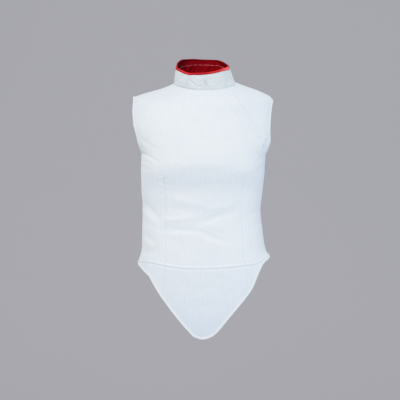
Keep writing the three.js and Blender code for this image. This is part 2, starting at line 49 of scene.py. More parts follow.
# Rings round the worn garment in millimetres, the same as the frame's: each is named by its height at the
# centre front, and tilts to its own heights at the sides and the centre back
ringColumns = (
    "height", "sideHeight", "backHeight", "halfWidth", "sway", "lean",
    "frontDepth", "backDepth", "frontRoundness", "backRoundness",
)
ringRows = [
    (-665, -665, -665, 140.0, -1.0, 0, 81, 116, 2.2, 2.35),
    (-625, -625, -625, 152.0, 0.0, 0, 94, 116, 2.25, 2.35),
    (-580, -580, -580, 166.0, 2.0, 0, 103, 116, 2.3, 2.35),
    (-520, -520, -520, 176.0, 4.0, 0, 110, 116, 2.35, 2.35),
    (-470, -470, -470, 174.0, 5.5, 0, 113, 116, 2.4, 2.35),
    (-453, -453, -453, 169.5, 5.0, 0, 112.5, 114, 2.4, 2.35),
    (-438, -438, -438, 162.5, 2.6, 0, 111, 111, 2.4, 2.35),
    (-415, -415, -415, 158.5, 0.6, 0, 109, 105, 2.4, 2.35),
    (-380, -380, -380, 156.0, -1.6, 0, 104, 96, 2.35, 2.3),
    (-329, -329, -329, 152.5, -3.4, 0, 99, 87, 2.3, 2.3),
    (-280, -280, -280, 156.3, -2.5, 0, 102.5, 94, 2.4, 2.35),
    (-255, -255, -255, 158.0, -1.4, 0, 109, 99, 2.5, 2.4),
    (-235, -235, -235, 159.3, -0.8, 0, 118, 103, 2.6, 2.4),
    (-216, -216, -216, 160.0, 0.0, 0, 126, 106, 2.62, 2.4),
    (-200, -200, -200, 160.0, 0.5, 0, 128, 108, 2.58, 2.4),
    (-182, -182, -182, 160.3, 1.8, 0, 126.5, 109, 2.49, 2.4),
    (-165, -165, -165, 167.2, 2.8, 0, 122, 110, 2.42, 2.35),
    (-150, -149, -150, 175.0, 2.6, 0, 118, 110, 2.38, 2.3),
    (-130, -128, -129, 180.0, 0.0, -1, 112, 109, 2.3, 2.25),
    (-110, -104, -106, 184.0, -2.8, -2, 106, 106, 2.2, 2.15),
    (-90, -78, -82, 184.5, -3.0, -3, 99, 102, 2.05, 2.0),
    (-68, -42, -52, 180.0, 0.5, -4, 91, 96, 1.85, 1.9),
    (-54, -35, -34, 173.0, 1.5, -1, 86, 92, 1.85, 1.9),
    (-40, -23, -14, 145.0, 2.0, 1.5, 79, 84, 1.9, 1.95),
    (-27, -13, 3, 113.0, 2.5, 3, 72, 75, 1.95, 1.95),
    (-14, 0, 18, 78.0, 3.5, 2, 64, 64, 2.0, 2.0),
]
neckHeight = -14
shoulderHeight = -68
hipHeight = -470
apronSeamEnd = -545
princessTop = -178
apronCorners = {"right": -0.9, "left": 0.8}
armhole = {"height": -124, "halfHeight": 56, "front": 0.24, "back": 0.21}

# Seams as rows of height and share, where a share is 0 at the centre front, 1 at the side and 2 at the back
princessRight = [
    (-545, -0.402), (-501, -0.389), (-460, -0.385), (-396, -0.398), (-346, -0.401), (-294, -0.394),
    (-244, -0.398), (-218, -0.418), (-198, -0.469), (-190, -0.51), (-183.5, -0.57), (-180, -0.69),
    (-178, -0.905),
]
princessLeft = [
    (-545, 0.403), (-499, 0.392), (-452, 0.395), (-410, 0.43), (-371, 0.442), (-333, 0.436),
    (-294, 0.421), (-255, 0.425), (-215, 0.44), (-200, 0.487), (-190, 0.535), (-183.5, 0.605),
    (-180, 0.7), (-178, 0.8),
]
closureSeam = [
    (-178, 0.8), (-169.3, 0.72), (-156.9, 0.58), (-141.3, 0.53), (-124, 0.492), (-106.7, 0.452),
    (-91, 0.423), (-74, 0.385), (-55, 0.343), (-38, 0.368), (-21, 0.43), (-14, 0.5),
]
# Edges as rows of share and height
hipSeam = [
    (-1, -467.8), (-0.85, -463), (-0.7, -460.5), (-0.56, -459), (-0.377, -463.7), (-0.229, -468.2),
    (-0.072, -469.4), (0.096, -468.2), (0.284, -464.7), (0.53, -459.7), (0.7, -450.5), (0.85, -448.6),
    (1, -449.3),
]
hemEdge = [
    (-2, -468), (-1.5, -469), (-1, -468), (-0.788, -470.9), (-0.632, -482.7), (-0.563, -491.6),
    (-0.499, -511.3), (-0.39, -551.4), (-0.28, -592.6), (-0.147, -634.9), (-0.09, -648), (0, -654),
    (0.09, -648), (0.154, -634.9), (0.269, -592.4), (0.38, -551.3), (0.457, -521), (0.537, -480.6),
    (0.607, -461.3), (0.735, -452.6), (1, -449.5), (1.4, -459), (2, -468),
]

# Folds and creases: one curve each in the front or back view, as x and z in millimetres. A trough has a
# negative rise, and `roll` is the share of it that stands up as a soft ridge on its lower side.
foldColumns = ("side", "fromX", "fromZ", "midX", "midZ", "toX", "toZ", "width", "rise", "roll")
foldRows = [
    ("front", -116, -372, -61, -367, 6, -374, 7.5, -3.5, 0.15),
    ("front", -14, -367, 18, -394, 90, -401, 8, -3.1, 0.2),
    ("front", -18, -358, 28, -336, 94, -322, 8, -3.3, 0.2),
    ("front", -110, -347, -58, -344, -4, -334, 8, 3.2, 0.0),
    ("front", -110, -310, -70, -320, -26, -316, 7, -1.2, 0.1),
    ("front", -84, -286, -34, -304, 30, -310, 10, 2.5, 0.0),
    ("front", 4, -358, 40, -364, 92, -358, 8, 2.2, 0.0),
    ("front", 0, -318, 34, -314, 84, -302, 8, 2.2, 0.0),
    ("front", -100, -404, -50, -418, 10, -410, 14, -1.6, 0.0),
    ("front", -158, -300, -134, -322, -104, -354, 8.5, -2.6, 0.3),
    ("front", -154, -326, -140, -342, -120, -358, 8, 1.9, 0.0),
    ("front", -152, -384, -138, -396, -118, -408, 8, -2.3, 0.3),
    ("front", -158, -436, -138, -430, -112, -420, 8, -2.0, 0.2),
    ("front", 152, -316, 132, -334, 104, -344, 10, -1.0, 0.2),
    ("front", 150, -352, 128, -366, 106, -372, 10, -0.9, 0.2),
    ("front", 152, -392, 134, -404, 112, -420, 10, -1.0, 0.2),
    ("front", -168, -132, -146, -150, -114, -164, 6.5, -1.9, 0.2),
    ("front", -166, -178, -142, -178, -110, -198, 3.6, -2.8, 0.2),
    ("front", -164, -197, -148, -202, -128, -198, 4.0, -1.2, 0.3),
    ("front", -162, -210, -146, -216, -126, -218, 5.0, -1.0, 0.2),
    ("front", 169, -136, 161, -150, 152, -172, 4.0, -3.0, 0.3),
    ("front", 164, -176, 150, -186, 132, -200, 6, -1.5, 0.2),
    ("front", 160, -206, 144, -218, 120, -226, 8, -1.4, 0.2),
    ("front", -100, -217, 0, -224, 100, -215, 9, -1.5, 0.0),
    ("front", -104, -196, 0, -201, 104, -195, 11, 1.0, 0.0),
    ("front", 84, -41, 123, -106, 144, -143, 3.8, -2.2, 0.5),
    ("front", 36, -374, 50, -384, 68, -384, 4.5, -1.4, 0.3),
    ("front", 20, -486, 44, -498, 64, -492, 8, -1.2, 0.2),
    ("front", -70, -486, -52, -500, -40, -520, 8, -1.2, 0.2),
    ("front", -110, -262, -40, -276, 30, -262, 17, -1.4, 0.0),
    ("front", -60, -436, 0, -428, 70, -440, 15, -1.2, 0.0),
    ("front", -56, -520, 10, -528, 50, -500, 16, -1.2, 0.0),
    ("front", -40, -570, 0, -560, 46, -572, 14, -1.0, 0.0),
    ("front", -88, -60, -60, -78, -50, -104, 12, -1.0, 0.0),
    ("front", -50, -22, 4, -31, 58, -21, 3.2, -2.2, 0.3),
    ("back", -118, -300, -40, -330, 60, -318, 14, -3.4, 0.2),
    ("back", -70, -318, 20, -352, 112, -338, 14, 2.8, 0.0),
    ("back", -110, -352, -10, -372, 96, -360, 15, -3.2, 0.2),
    ("back", -140, -260, -118, -286, -84, -302, 12, -2.6, 0.2),
    ("back", 142, -256, 112, -280, 92, -306, 12, -2.8, 0.2),
    ("back", -152, -150, -128, -176, -96, -204, 12, -2.8, 0.2),
    ("back", 150, -146, 130, -172, 104, -198, 12, -2.4, 0.2),
    ("back", -70, -90, -10, -102, 56, -92, 16, -1.8, 0.0),
    ("back", -30, -410, 10, -428, 70, -434, 15, 1.8, 0.0),
]


def smoothCurve(rows, fromColumn=0, toColumn=1):
    # A curve that never overshoots its points
    xs = np.array([row[fromColumn] for row in rows], float)
    ys = np.array([row[toColumn] for row in rows], float)
    steps = np.diff(xs)
    slopes = np.diff(ys) / steps
    tangents = np.zeros(len(xs))
    tangents[0], tangents[-1] = slopes[0], slopes[-1]
    for i in range(1, len(xs) - 1):
        before, after = slopes[i - 1], slopes[i]
        if before * after > 0:
            beforeWeight = 2 * steps[i] + steps[i - 1]
            afterWeight = steps[i] + 2 * steps[i - 1]
            tangents[i] = (beforeWeight + afterWeight) / (beforeWeight / before + afterWeight / after)

    def read(x):
        x = np.asarray(x, float)
        i = np.clip(np.searchsorted(xs, x) - 1, 0, len(xs) - 2)
        t = np.clip((x - xs[i]) / steps[i], 0, 1)
        rise = (3 * t ** 2 - 2 * t ** 3) * (ys[i + 1] - ys[i])
        start = (t ** 3 - 2 * t ** 2 + t) * steps[i] * tangents[i]
        end = (t ** 3 - t ** 2) * steps[i] * tangents[i + 1]
        return ys[i] + rise + start + end

    return read


ring = {name: smoothCurve(ringRows, 0, i) for i, name in enumerate(ringColumns) if i}
princessRightShare = smoothCurve(princessRight)
princessLeftShare = smoothCurve(princessLeft)
closureShare = smoothCurve(closureSeam)
hipSeamHeight = smoothCurve(hipSeam)
hemHeight = smoothCurve(hemEdge)


def smoothStep(x, start, end):
    t = np.clip((x - start) / (end - start), 0, 1)
    return t * t * (3 - 2 * t)


def swell(distance, width):
    # A soft rise that is 1 at no distance
    return np.exp(-((distance / width) ** 2))


def ripple(along, rise, quick, slow, shift):
    # An uneven wave along a line, that swells and fades
    return rise * np.sin(along / quick) * np.sin(along / slow + shift)


def wrapShare(share):
    return (np.asarray(share, float) + 2) % 4 - 2


def formPoint(places):
    # Places are pairs of share and height, and points come back in millimetres
    share = wrapShare(places[..., 0])
    height = places[..., 1]
    angle = np.abs(share) * math.pi / 2
    isFront = np.abs(share) <= 1
    across, along = np.abs(np.sin(angle)), np.abs(np.cos(angle))
    roundness = np.where(isFront, ring["frontRoundness"](height), ring["backRoundness"](height))
    depth = np.where(isFront, -ring["frontDepth"](height), ring["backDepth"](height))
    reach = (across ** roundness + along ** roundness) ** (-1 / roundness)
    sideHeight = ring["sideHeight"](height)
    middleHeight = np.where(isFront, height, ring["backHeight"](height))
    side = np.sign(share)
    x = ring["sway"](height) + side * ring["halfWidth"](height) * reach * across
    y = depth * reach * along
    z = sideHeight + (middleHeight - sideHeight) * along ** 2 + ring["lean"](height) * side * across
    return np.stack([x, y, z], -1)


def unit(vectors):
    return vectors / np.maximum(np.linalg.norm(vectors, axis=-1, keepdims=True), 1e-12)


def slopesOf(surface, places, steps):
    stepA, stepB = steps
    alongA = (surface(places + (stepA, 0)) - surface(places - (stepA, 0))) / (2 * stepA)
    alongB = (surface(places + (0, stepB)) - surface(places - (0, stepB))) / (2 * stepB)
    return alongA, alongB


bodySteps = (0.001, 0.5)
pathPoints = 160
foldLook = {"points": 15, "taper": 0.8, "rollAt": 1.7}
folds = []
for row in foldRows:
    fold = dict(zip(foldColumns, row))
    t = np.linspace(0, 1, foldLook["points"])[:, None]
    start, middle, end = [np.array((fold[at + "X"], fold[at + "Z"]), float) for at in ("from", "mid", "to")]
    fold["points"] = (1 - t) ** 2 * start + 2 * t * (1 - t) * middle + t ** 2 * end
    folds.append(fold)


def nearLine(seen, start, run):
    # How far along a line each point is nearest to it, and its gap from there
    t = np.clip(((seen - start) @ run) / (run @ run), 0, 1)
    return t, seen - (start + t[..., None] * run)


def foldRise(points):
    # How far each point of the cloth stands out or lies in, with the ends of a fold fading away
    seen = points[..., [0, 2]]
    isFront = points[..., 1] < 0
    rise = np.zeros(seen.shape[:-1])
    for fold in folds:
        path, width = fold["points"], fold["width"]
        nearest = np.full(rise.shape, 1e9)
        share = np.zeros(rise.shape)
        sideways = np.zeros(rise.shape)
        for i in range(len(path) - 1):
            run = path[i + 1] - path[i]
            t, gap = nearLine(seen, path[i], run)
            distance = np.linalg.norm(gap, axis=-1)
            closer = distance < nearest
            nearest = np.where(closer, distance, nearest)
            share = np.where(closer, (i + t) / (len(path) - 1), share)
            sideways = np.where(closer, gap[..., 1] * np.sign(run[0] + 1e-9), sideways)
        profile = swell(nearest, width)
        if fold["roll"]:
            ridge = swell(nearest - foldLook["rollAt"] * width, width) * (sideways < 0)
            profile = profile - fold["roll"] * ridge
        onSide = isFront if fold["side"] == "front" else ~isFront
        taper = np.sin(math.pi * share) ** foldLook["taper"]
        rise += np.where(onSide, fold["rise"] * taper * profile, 0)
    return rise


def clothPoint(places, outward=0.0):
    places = np.asarray(places, float)
    base = formPoint(places)
    normal = unit(np.cross(*slopesOf(formPoint, places, bodySteps)))
    lift = foldRise(base) + outward
    return base + normal * lift[..., None], normal


def pathLength(points):
    return np.concatenate([[0], np.cumsum(np.linalg.norm(np.diff(points, axis=0), axis=1))])


def evenPath(places, count, crowding=1.0):
    # The same path, with its points an equal distance apart on the cloth, or crowded towards its start
    places = np.asarray(places, float)
    length = pathLength(formPoint(places))
    at = length[-1] * np.linspace(0, 1, count) ** crowding
    return np.stack([np.interp(at, length, places[:, k]) for k in (0, 1)], -1)


def tangentsOf(points, isRing):
    if isRing:
        return unit(np.roll(points, -1, 0) - np.roll(points, 1, 0))
    return unit(np.gradient(points, axis=0))


def pathBeside(path, distance):
    # The path moved to its left, seen from outside, by a distance in millimetres
    tangent = tangentsOf(formPoint(path), False)
    alongA, alongB = slopesOf(formPoint, path, bodySteps)
    sideways = unit(np.cross(unit(np.cross(alongA, alongB)), tangent)) * distance
    aa, bb, ab = [(p * q).sum(-1) for p, q in ((alongA, alongA), (alongB, alongB), (alongA, alongB))]
    sa, sb = (sideways * alongA).sum(-1), (sideways * alongB).sum(-1)
    scale = aa * bb - ab * ab
    return path + np.stack([(sa * bb - sb * ab) / scale, (sb * aa - sa * ab) / scale], -1)


def coonsPatch(left, right, bottom, top):
    # Fills four edges with an even net. Left and right run up, and bottom and top run from left to right.
    v = np.linspace(0, 1, len(left))[:, None, None]
    u = np.linspace(0, 1, len(bottom))[None, :, None]
    between = (1 - u) * left[:, None] + u * right[:, None] + (1 - v) * bottom[None] + v * top[None]
    lower = (1 - u) * bottom[0] + u * bottom[-1]
    upper = (1 - u) * top[0] + u * top[-1]
    return between - (1 - v) * lower - v * upper


def heightPath(shareAt, fromHeight, toHeight):
    heights = np.linspace(fromHeight, toHeight, pathPoints)
    shares = np.broadcast_to(shareAt(heights) if callable(shareAt) else shareAt, heights.shape)
    return np.stack([shares, heights], -1)


def sharePath(heightAt, fromShare, toShare, count=pathPoints):
    shares = np.linspace(fromShare, toShare, count)
    heights = heightAt(wrapShare(shares)) if callable(heightAt) else np.full(count, float(heightAt))
    return np.stack([shares, heights], -1)


def armholePath(side, isFront, fromAngle, toAngle, count=120):
    # Angles run from 0 at the shoulder to half a turn at the underarm
    angles = np.linspace(fromAngle, toAngle, count)
    cut = -armhole["front"] if isFront else armhole["back"]
    shares = side * (1 + cut * np.sin(angles))
    return np.stack([shares, armhole["height"] + armhole["halfHeight"] * np.cos(angles)], -1)


def netLengths(points):
    # Distances over a net of points, along its rows and along its columns
    across = np.zeros(points.shape[:2])
    across[:, 1:] = np.cumsum(np.linalg.norm(np.diff(points, axis=1), axis=-1), axis=1)
    down = np.zeros(points.shape[:2])
    down[1:] = np.cumsum(np.linalg.norm(np.diff(points, axis=0), axis=-1), axis=0)
    return across, down


# Distances over the cloth, for the grain: across from the middle of the front or back, and up from the hip
tableShares = np.linspace(-1.1, 3.1, 421)
tableHeights = np.linspace(-670.0, 0.0, 269)
grainAcross, grainUp = netLengths(formPoint(np.stack(np.meshgrid(tableShares, tableHeights), -1)))
grainUp = grainUp - grainUp[int(np.searchsorted(tableHeights, hipHeight))]


def cellOf(values, ticks):
    # The cell of a table that each value lies in, and how far across it
    at = np.clip(np.interp(values, ticks, np.arange(len(ticks))), 0, len(ticks) - 1.001)
    cell = at.astype(int)
    return cell, at - cell


def readTable(table, places):
    c, u = cellOf(places[..., 0], tableShares)
    r, v = cellOf(places[..., 1], tableHeights)
    low = table[r, c] * (1 - u) + table[r, c + 1] * u
    high = table[r + 1, c] * (1 - u) + table[r + 1, c + 1] * u
    return low * (1 - v) + high * v


def grainAt(places):
    # A front counts from its centre at share 0, and the back from share 2
    middle = places.copy()
    middle[..., 0] = 0.0 if places[..., 0].mean() < 1.2 else 2.0
    across = readTable(grainAcross, places) - readTable(grainAcross, middle)
    return np.stack([across, readTable(grainUp, places)], -1)


def joinPaths(*parts):
    # Each part is a path and its number of steps, and the parts share their end points
    joined = [evenPath(path, count + 1)[:-1] for path, count in parts]
    return np.concatenate(joined + [parts[-1][0][-1:]])


print("form ready")


def operator(operation, isReflected=False):
    def apply(self, other):
        first, second = (other, self) if isReflected else (self, other)
        return self.math(operation, first, second)

    return apply


class Socket:
    # Wraps a node's output, so that sums of values are written plainly
    def __init__(self, tree, output):
        self.tree = tree
        self.output = output

    def math(self, operation, first, second=None):
        node = self.tree.nodes.new("ShaderNodeMath")
        node.operation = operation
        for i, value in enumerate((first, second)):
            if isinstance(value, Socket):
                self.tree.links.new(value.output, node.inputs[i])
            elif value is not None:
                node.inputs[i].default_value = value
        return Socket(self.tree, node.outputs[0])

    __add__ = operator("ADD")
    __radd__ = operator("ADD", True)
    __sub__ = operator("SUBTRACT")
    __rsub__ = operator("SUBTRACT", True)
    __mul__ = operator("MULTIPLY")
    __rmul__ = operator("MULTIPLY", True)
    __pow__ = operator("POWER")

    def sine(self):
        return self.math("SINE", self)

    def clamp(self):
        return self.math("MINIMUM", self.math("MAXIMUM", self, 0.0), 1.0)


class Finish:
    # One material, with its nodes made by type, settings and sockets
    def __init__(self, name):
        self.material = bpy.data.materials.new(name)
        self.material.use_nodes = True
        self.tree = self.material.node_tree
        self.shader = next(n for n in self.tree.nodes if n.type == "BSDF_PRINCIPLED")

    def node(self, kind, settings=None, sockets=None, output=0):
        node = self.tree.nodes.new(kind)
        for key, value in (settings or {}).items():
            setattr(node, key, value)
        for key, value in (sockets or {}).items():
            self.feed(node.inputs[key], value)
        return Socket(self.tree, node.outputs[output])

    def feed(self, target, value):
        if isinstance(value, Socket):
            self.tree.links.new(value.output, target)
            return
        if target.type == "RGBA":
            value = (*value, 1)
        target.default_value = value

    def mix(self, factor, first, second):
        return self.node("ShaderNodeMix", {"data_type": "RGBA"}, {0: factor, 6: first, 7: second}, output=2)

    def part(self, vector, axis):
        # One axis of a vector
        return self.node("ShaderNodeSeparateXYZ", {}, {0: vector}, output="XYZ".index(axis))

    def place(self):
        return self.node("ShaderNodeTexCoord", output=3)

    def grain(self):
        return self.node("ShaderNodeUVMap", {"uv_map": "grain"})

    def attribute(self, name):
        return self.node("ShaderNodeAttribute", {"attribute_name": name}, output=2)

    def wave(self, along, pitch):
        # A wave from 0 to 1 along a distance
        return (along * (2 * math.pi / pitch)).sine() * 0.5 + 0.5

    def noise(self, vector, scale, detail=2.0, roughness=0.5):
        sockets = {"Vector": vector, "Scale": scale, "Detail": detail, "Roughness": roughness}
        return self.node("ShaderNodeTexNoise", {}, sockets)

    def set(self, **values):
        for key, value in values.items():
            self.feed(self.shader.inputs[key], value)

    def bump(self, height, distance, strength=1.0):
        sockets = {"Height": height, "Distance": distance, "Strength": strength}
        self.set(Normal=self.node("ShaderNodeBump", {}, sockets))


# Pitches are in millimetres along the cloth, depths and heights in metres, and the rest are shares
# The overall darkening is the cloth's own tone, and the low and high shares are painted shade
foilLook = {
    "colour": (0.61, 0.795, 0.985), "shade": (0.335, 0.53, 0.88), "inside": (0.60, 0.60, 0.58),
    "stripePitch": 6.5, "ribPitch": 1.5, "pickPitch": 1.1, "ribDepth": 0.0003, "stripe": 1.0, "mottle": 1.0,
    "seam": 0.4, "toneAndPaintedShade": 0.03, "lowPaintedShade": 0.8, "lowFrom": -0.40, "highPaintedShade": 0.38, "highFrom": -0.115,
    "roughness": 0.5, "metallic": 0.1, "sheen": 0.15,
}

# Painted shade: the collar gets less light than the chest, so it is given a darker copy of the same cloth
collarFoilPaintedShadeLook = {
    **foilLook, "colour": (0.355, 0.49, 0.58), "shade": (0.14, 0.23, 0.29), "toneAndPaintedShade": 0.12,
    "highPaintedShade": 0.0, "mottle": 1.8, "stripe": 0.45,
}


def makeFoilCloth(name, look):
    finish = Finish(name)
    grain, place = finish.grain(), finish.place()
    across, down = finish.part(grain, "X"), finish.part(grain, "Y")
    wander = finish.noise(place, 9.0, 3.0) - 0.5
    lines = across * (1 / mm) + wander * 0.9
    broken = finish.noise(grain, 90.0, 2.0)
    stripe = finish.wave(lines, look["stripePitch"]) ** 4.0 * (broken * 1.6).clamp()
    rib = finish.wave(lines, look["ribPitch"])
    pick = finish.wave(down, look["pickPitch"] * mm)
    cloud = finish.noise(place, 14.0, 4.0, 0.6)
    patch = finish.noise(place, 60.0, 3.0, 0.6)
    speck = finish.noise(place, 420.0, 2.0, 0.7)
    mottle = (cloud - 0.45) * 0.8 + (patch - 0.5) * 0.9 + (speck - 0.5) * 1.2
    # Painted shade: the cloth is a little darker towards the low point and at the top of the chest, where
    # less light falls
    height = finish.part(place, "Z")
    low = ((look["lowFrom"] - height) * 3.0).clamp() * look["lowPaintedShade"]
    high = ((height - look["highFrom"]) * 9.0).clamp() * look["highPaintedShade"]
    # Painted shade along seams, grooves and gathers, from a mesh attribute
    seam = finish.attribute("seamPaintedShade") * look["seam"]
    # An overall darkening: the cloth's own tone, with more of it on the collar as painted shade
    shade = stripe * look["stripe"] + mottle * look["mottle"] + seam + look["toneAndPaintedShade"] + low + high
    outside = finish.mix(shade.clamp(), look["colour"], look["shade"])
    finish.set(**{
        "Base Color": finish.mix(finish.attribute("inside"), outside, look["inside"]),
        "Roughness": look["roughness"] + (patch - 0.5) * 0.16 + stripe * 0.06,
        "Metallic": look["metallic"],
        "Sheen Weight": look["sheen"],
        "Sheen Roughness": 0.4,
    })
    weave = rib * 0.55 + stripe * -0.5 + pick * 0.18 + patch * 0.5
    finish.bump(weave, look["ribDepth"], 0.8)
    return finish.material


tapeLook = {"colour": (0.72, 0.89, 1.0), "shade": (0.60, 0.77, 0.95), "ribPitch": 1.1, "roughness": 0.6}


def makeEdgeTape():
    finish = Finish("edgeTape")
    rib = finish.wave(finish.part(finish.grain(), "Y"), tapeLook["ribPitch"] * mm)
    cloud = finish.noise(finish.place(), 40.0, 3.0)
    shade = (rib * 0.35 + (cloud - 0.4) * 0.6).clamp()
    finish.set(**{
        "Base Color": finish.mix(shade, tapeLook["colour"], tapeLook["shade"]),
        "Roughness": tapeLook["roughness"] + (cloud - 0.5) * 0.15,
        "Metallic": 0.04,
        "Sheen Weight": 0.2,
    })
    finish.bump(rib + cloud * 0.6, 0.0002, 0.7)
    return finish.material


# Where the painted shade and painted light on the pile begin, in metres
pilePlaces = {"middle": -0.008, "lapEnd": 0.043, "low": 0.030}


def makeRedPile(name, look):
    # Painted light and shade: the pile is painted darker towards the back of the neck, where the band's
    # inside lies in shade, and lighter low inside the band. The roll has painted shade at the centre front
    # and a painted highlight at its lapped end.
    finish = Finish(name)
    place = finish.place()
    across, depth, height = [finish.part(place, axis) for axis in "XYZ"]
    # Painted shade on the roll at the centre front
    middle = (1.0 - ((across - pilePlaces["middle"]) * 30.0) ** 2.0).clamp() * look["paintedShadeMiddle"]
    # Painted highlight on the roll's lapped end
    lapEnd = ((across - pilePlaces["lapEnd"]) * 60.0).clamp() * (depth * -60.0).clamp() * look["paintedHighlightEnd"]
    # Painted light low inside the band
    low = ((pilePlaces["low"] - height) * 70.0).clamp() * look["paintedLightLow"]
    nap = finish.noise(place, 55.0, 4.0, 0.65)
    pile = finish.noise(place, 1400.0, 2.0, 0.7)
    shade = ((nap - 0.35) * 1.7 + (pile - 0.5) * 0.5 + middle).clamp()
    tone = finish.mix(shade, look["colour"], look["shade"])
    # Painted shade towards the back of the neck
    tone = finish.mix((depth * 40.0 + 0.3).clamp(), tone, look["worn"])
    finish.set(**{
        "Base Color": finish.mix((low + lapEnd).clamp(), tone, look["paintedLight"]),
        "Roughness": 0.82 + (pile - 0.5) * 0.2,
        "Metallic": 0.0,
        "Specular IOR Level": 0.04,
    })
    finish.bump(pile * 0.8 + nap * 0.8, 0.0005, 0.9)
    return finish.material


def makeThread(name, colour, shade):
    finish = Finish(name)
    twist = finish.noise(finish.place(), 900.0, 2.0)
    finish.set(**{
        "Base Color": finish.mix(twist.clamp(), colour, shade),
        "Roughness": 0.5 + (twist - 0.5) * 0.2,
    })
    finish.bump(twist, 0.0001, 0.6)
    return finish.material


foilCloth = makeFoilCloth("foilCloth", foilLook)
# The collar's darker copy of the cloth, as painted shade
collarFoilPaintedShade = makeFoilCloth("collarFoilPaintedShade", collarFoilPaintedShadeLook)
edgeTape = makeEdgeTape()
# Each pile has a painted shade colour for the back of the neck and a painted light colour, and the roll adds
# painted shade and a painted highlight
redPile = makeRedPile("redPile", {
    "colour": (0.074, 0.0, 0.0024), "shade": (0.036, 0.0, 0.0013), "worn": (0.05, 0.0, 0.0018),
    "paintedLight": (0.135, 0.0, 0.006), "paintedLightLow": 0.75, "paintedShadeMiddle": 0.0, "paintedHighlightEnd": 0.0,
})
redEdge = makeRedPile("redEdge", {
    "colour": (0.148, 0.0, 0.0045), "shade": (0.075, 0.0, 0.003), "worn": (0.042, 0.0, 0.0016),
    "paintedLight": (0.26, 0.005, 0.012), "paintedLightLow": 0.0, "paintedShadeMiddle": 0.75, "paintedHighlightEnd": 1.0,
})
whiteThread = makeThread("whiteThread", (0.78, 0.80, 0.83), (0.62, 0.65, 0.69))
roseThread = makeThread("roseThread", (0.30, 0.07, 0.10), (0.20, 0.035, 0.055))
print("finishes ready")


def addObject(name, data):
    holder = bpy.data.objects.new(name, data)
    bpy.context.scene.collection.objects.link(holder)
    return holder


sharpAngle = 55


def layersToMesh(name, outer, inner, grain, material, seamPaintedShade, isRing):
    # A closed thin shell between two layers of points, rows by columns, in millimetres
    rows, columns = outer.shape[:2]
    size = rows * columns
    points = np.concatenate([outer.reshape(-1, 3), inner.reshape(-1, 3)]) * mm
    index = np.arange(size).reshape(rows, columns)
    upper = np.roll(index, -1, 0) if isRing else index[1:]
    lower = index if isRing else index[:-1]
    a, b, c, d = lower[:, :-1], lower[:, 1:], upper[:, 1:], upper[:, :-1]
    faces = [np.stack([a, b, c, d], -1), np.stack([a, d, c, b], -1) + size]
    right, rightUp, left, leftUp = lower[:, -1], upper[:, -1], lower[:, 0], upper[:, 0]
    faces.append(np.stack([right, right + size, rightUp + size, rightUp], -1)[None])
    faces.append(np.stack([left, leftUp, leftUp + size, left + size], -1)[None])
    if not isRing:
        first, last = index[0], index[-1]
        faces.append(np.stack([first[:-1] + size, first[1:] + size, first[1:], first[:-1]], -1)[None])
        faces.append(np.stack([last[:-1], last[1:], last[1:] + size, last[:-1] + size], -1)[None])
    quads = np.concatenate([f.reshape(-1, 4) for f in faces])
    corner = points[quads]
    volume = (corner[:, 0] * np.cross(corner[:, 1], corner[:, 2])).sum()
    volume += (corner[:, 0] * np.cross(corner[:, 2], corner[:, 3])).sum()
    if volume < 0:
        quads = quads[:, ::-1]
    mesh = bpy.data.meshes.new(name)
    mesh.from_pydata(points.tolist(), [], quads.tolist())
    places = np.concatenate([grain.reshape(-1, 2)] * 2)
    layer = mesh.uv_layers.new(name="grain")
    layer.data.foreach_set("uv", places[quads.ravel()].astype("f").ravel())
    values = {
        "seamPaintedShade": np.tile(np.broadcast_to(seamPaintedShade, (rows, columns)).ravel(), 2),
        "inside": np.repeat([0.0, 1.0], size),
    }
    for key, value in values.items():
        mesh.attributes.new(key, "FLOAT", "POINT").data.foreach_set("value", value.astype("f"))
    mesh.polygons.foreach_set("use_smooth", [True] * len(quads))
    mesh.set_sharp_from_angle(angle=math.radians(sharpAngle))
    mesh.materials.append(material)
    mesh.update()
    return addObject(name, mesh)


def makeCloth(name, node, material, layers, cut=None, grain=None, seamPaintedShade=0.0, isRing=False):
    # A piece between an outer and an inner layer. Its flat cut is the outer net laid out, or another net.
    outer, inner = layers
    cut = outer if cut is None else cut
    across, down = netLengths(cut)
    if grain is None:
        grain = np.stack([across, down], -1)[:len(outer)] * mm
    piece = layersToMesh(name, outer, inner, grain, material, seamPaintedShade, isRing)
    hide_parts(node)
    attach(piece, body)


# How the cloth turns in at a seam, in millimetres. A welt stands up beside the hip seam, and the front is
# gathered onto its side panel under the bust.
# The shade widths and strengths are painted shade in the seams and the gathers
seamLook = {
    "dip": 1.0, "hipDip": 0.6, "dipWidth": 1.7, "puff": 0.3, "puffAt": 6.0, "puffWidth": 3.0,
    "welt": 2.1, "weltAt": 4.2, "weltWidth": 2.5, "shadeWidth": 1.9, "hipShade": 0.4,
    "pucker": 0.225, "puckerReach": 13.0, "puckerAt": 218.0, "puckerSpread": 36.0, "quick": 2.9, "slow": 4.7,
    "gatherAt": 214.0, "gatherReach": 26.0, "gatherPitch": 11.0, "gatherShade": 1.3,
    "pressFrom": 208, "pressTo": 240, "press": 0.85,
}
clothThickness = 1.2


def seamProfile(distance, isHip, isWelt):
    look = seamLook
    dip = -(look["hipDip"] if isHip else look["dip"]) * swell(distance, look["dipWidth"])
    if isWelt:
        return dip + look["welt"] * swell(distance - look["weltAt"], look["weltWidth"])
    return dip + look["puff"] * swell(distance - look["puffAt"], look["puffWidth"])


def seamPucker(distance, along, seed):
    # Uneven ripples that start at the stitching and fade out over the cloth, strongest under the bust
    look = seamLook
    wave = np.sin(along / look["quick"] + seed) + 0.7 * np.sin(along / look["slow"] + 2.1 * seed)
    wave = wave + np.sin(2 * math.pi * along / look["gatherPitch"])
    strength = 0.35 + 0.6 * np.sin(along / 31.0 + seed * 1.3) ** 2
    strength = strength + 1.7 * swell(along - look["puckerAt"], look["puckerSpread"])
    return look["pucker"] * wave * strength * np.exp(-distance / look["puckerReach"])


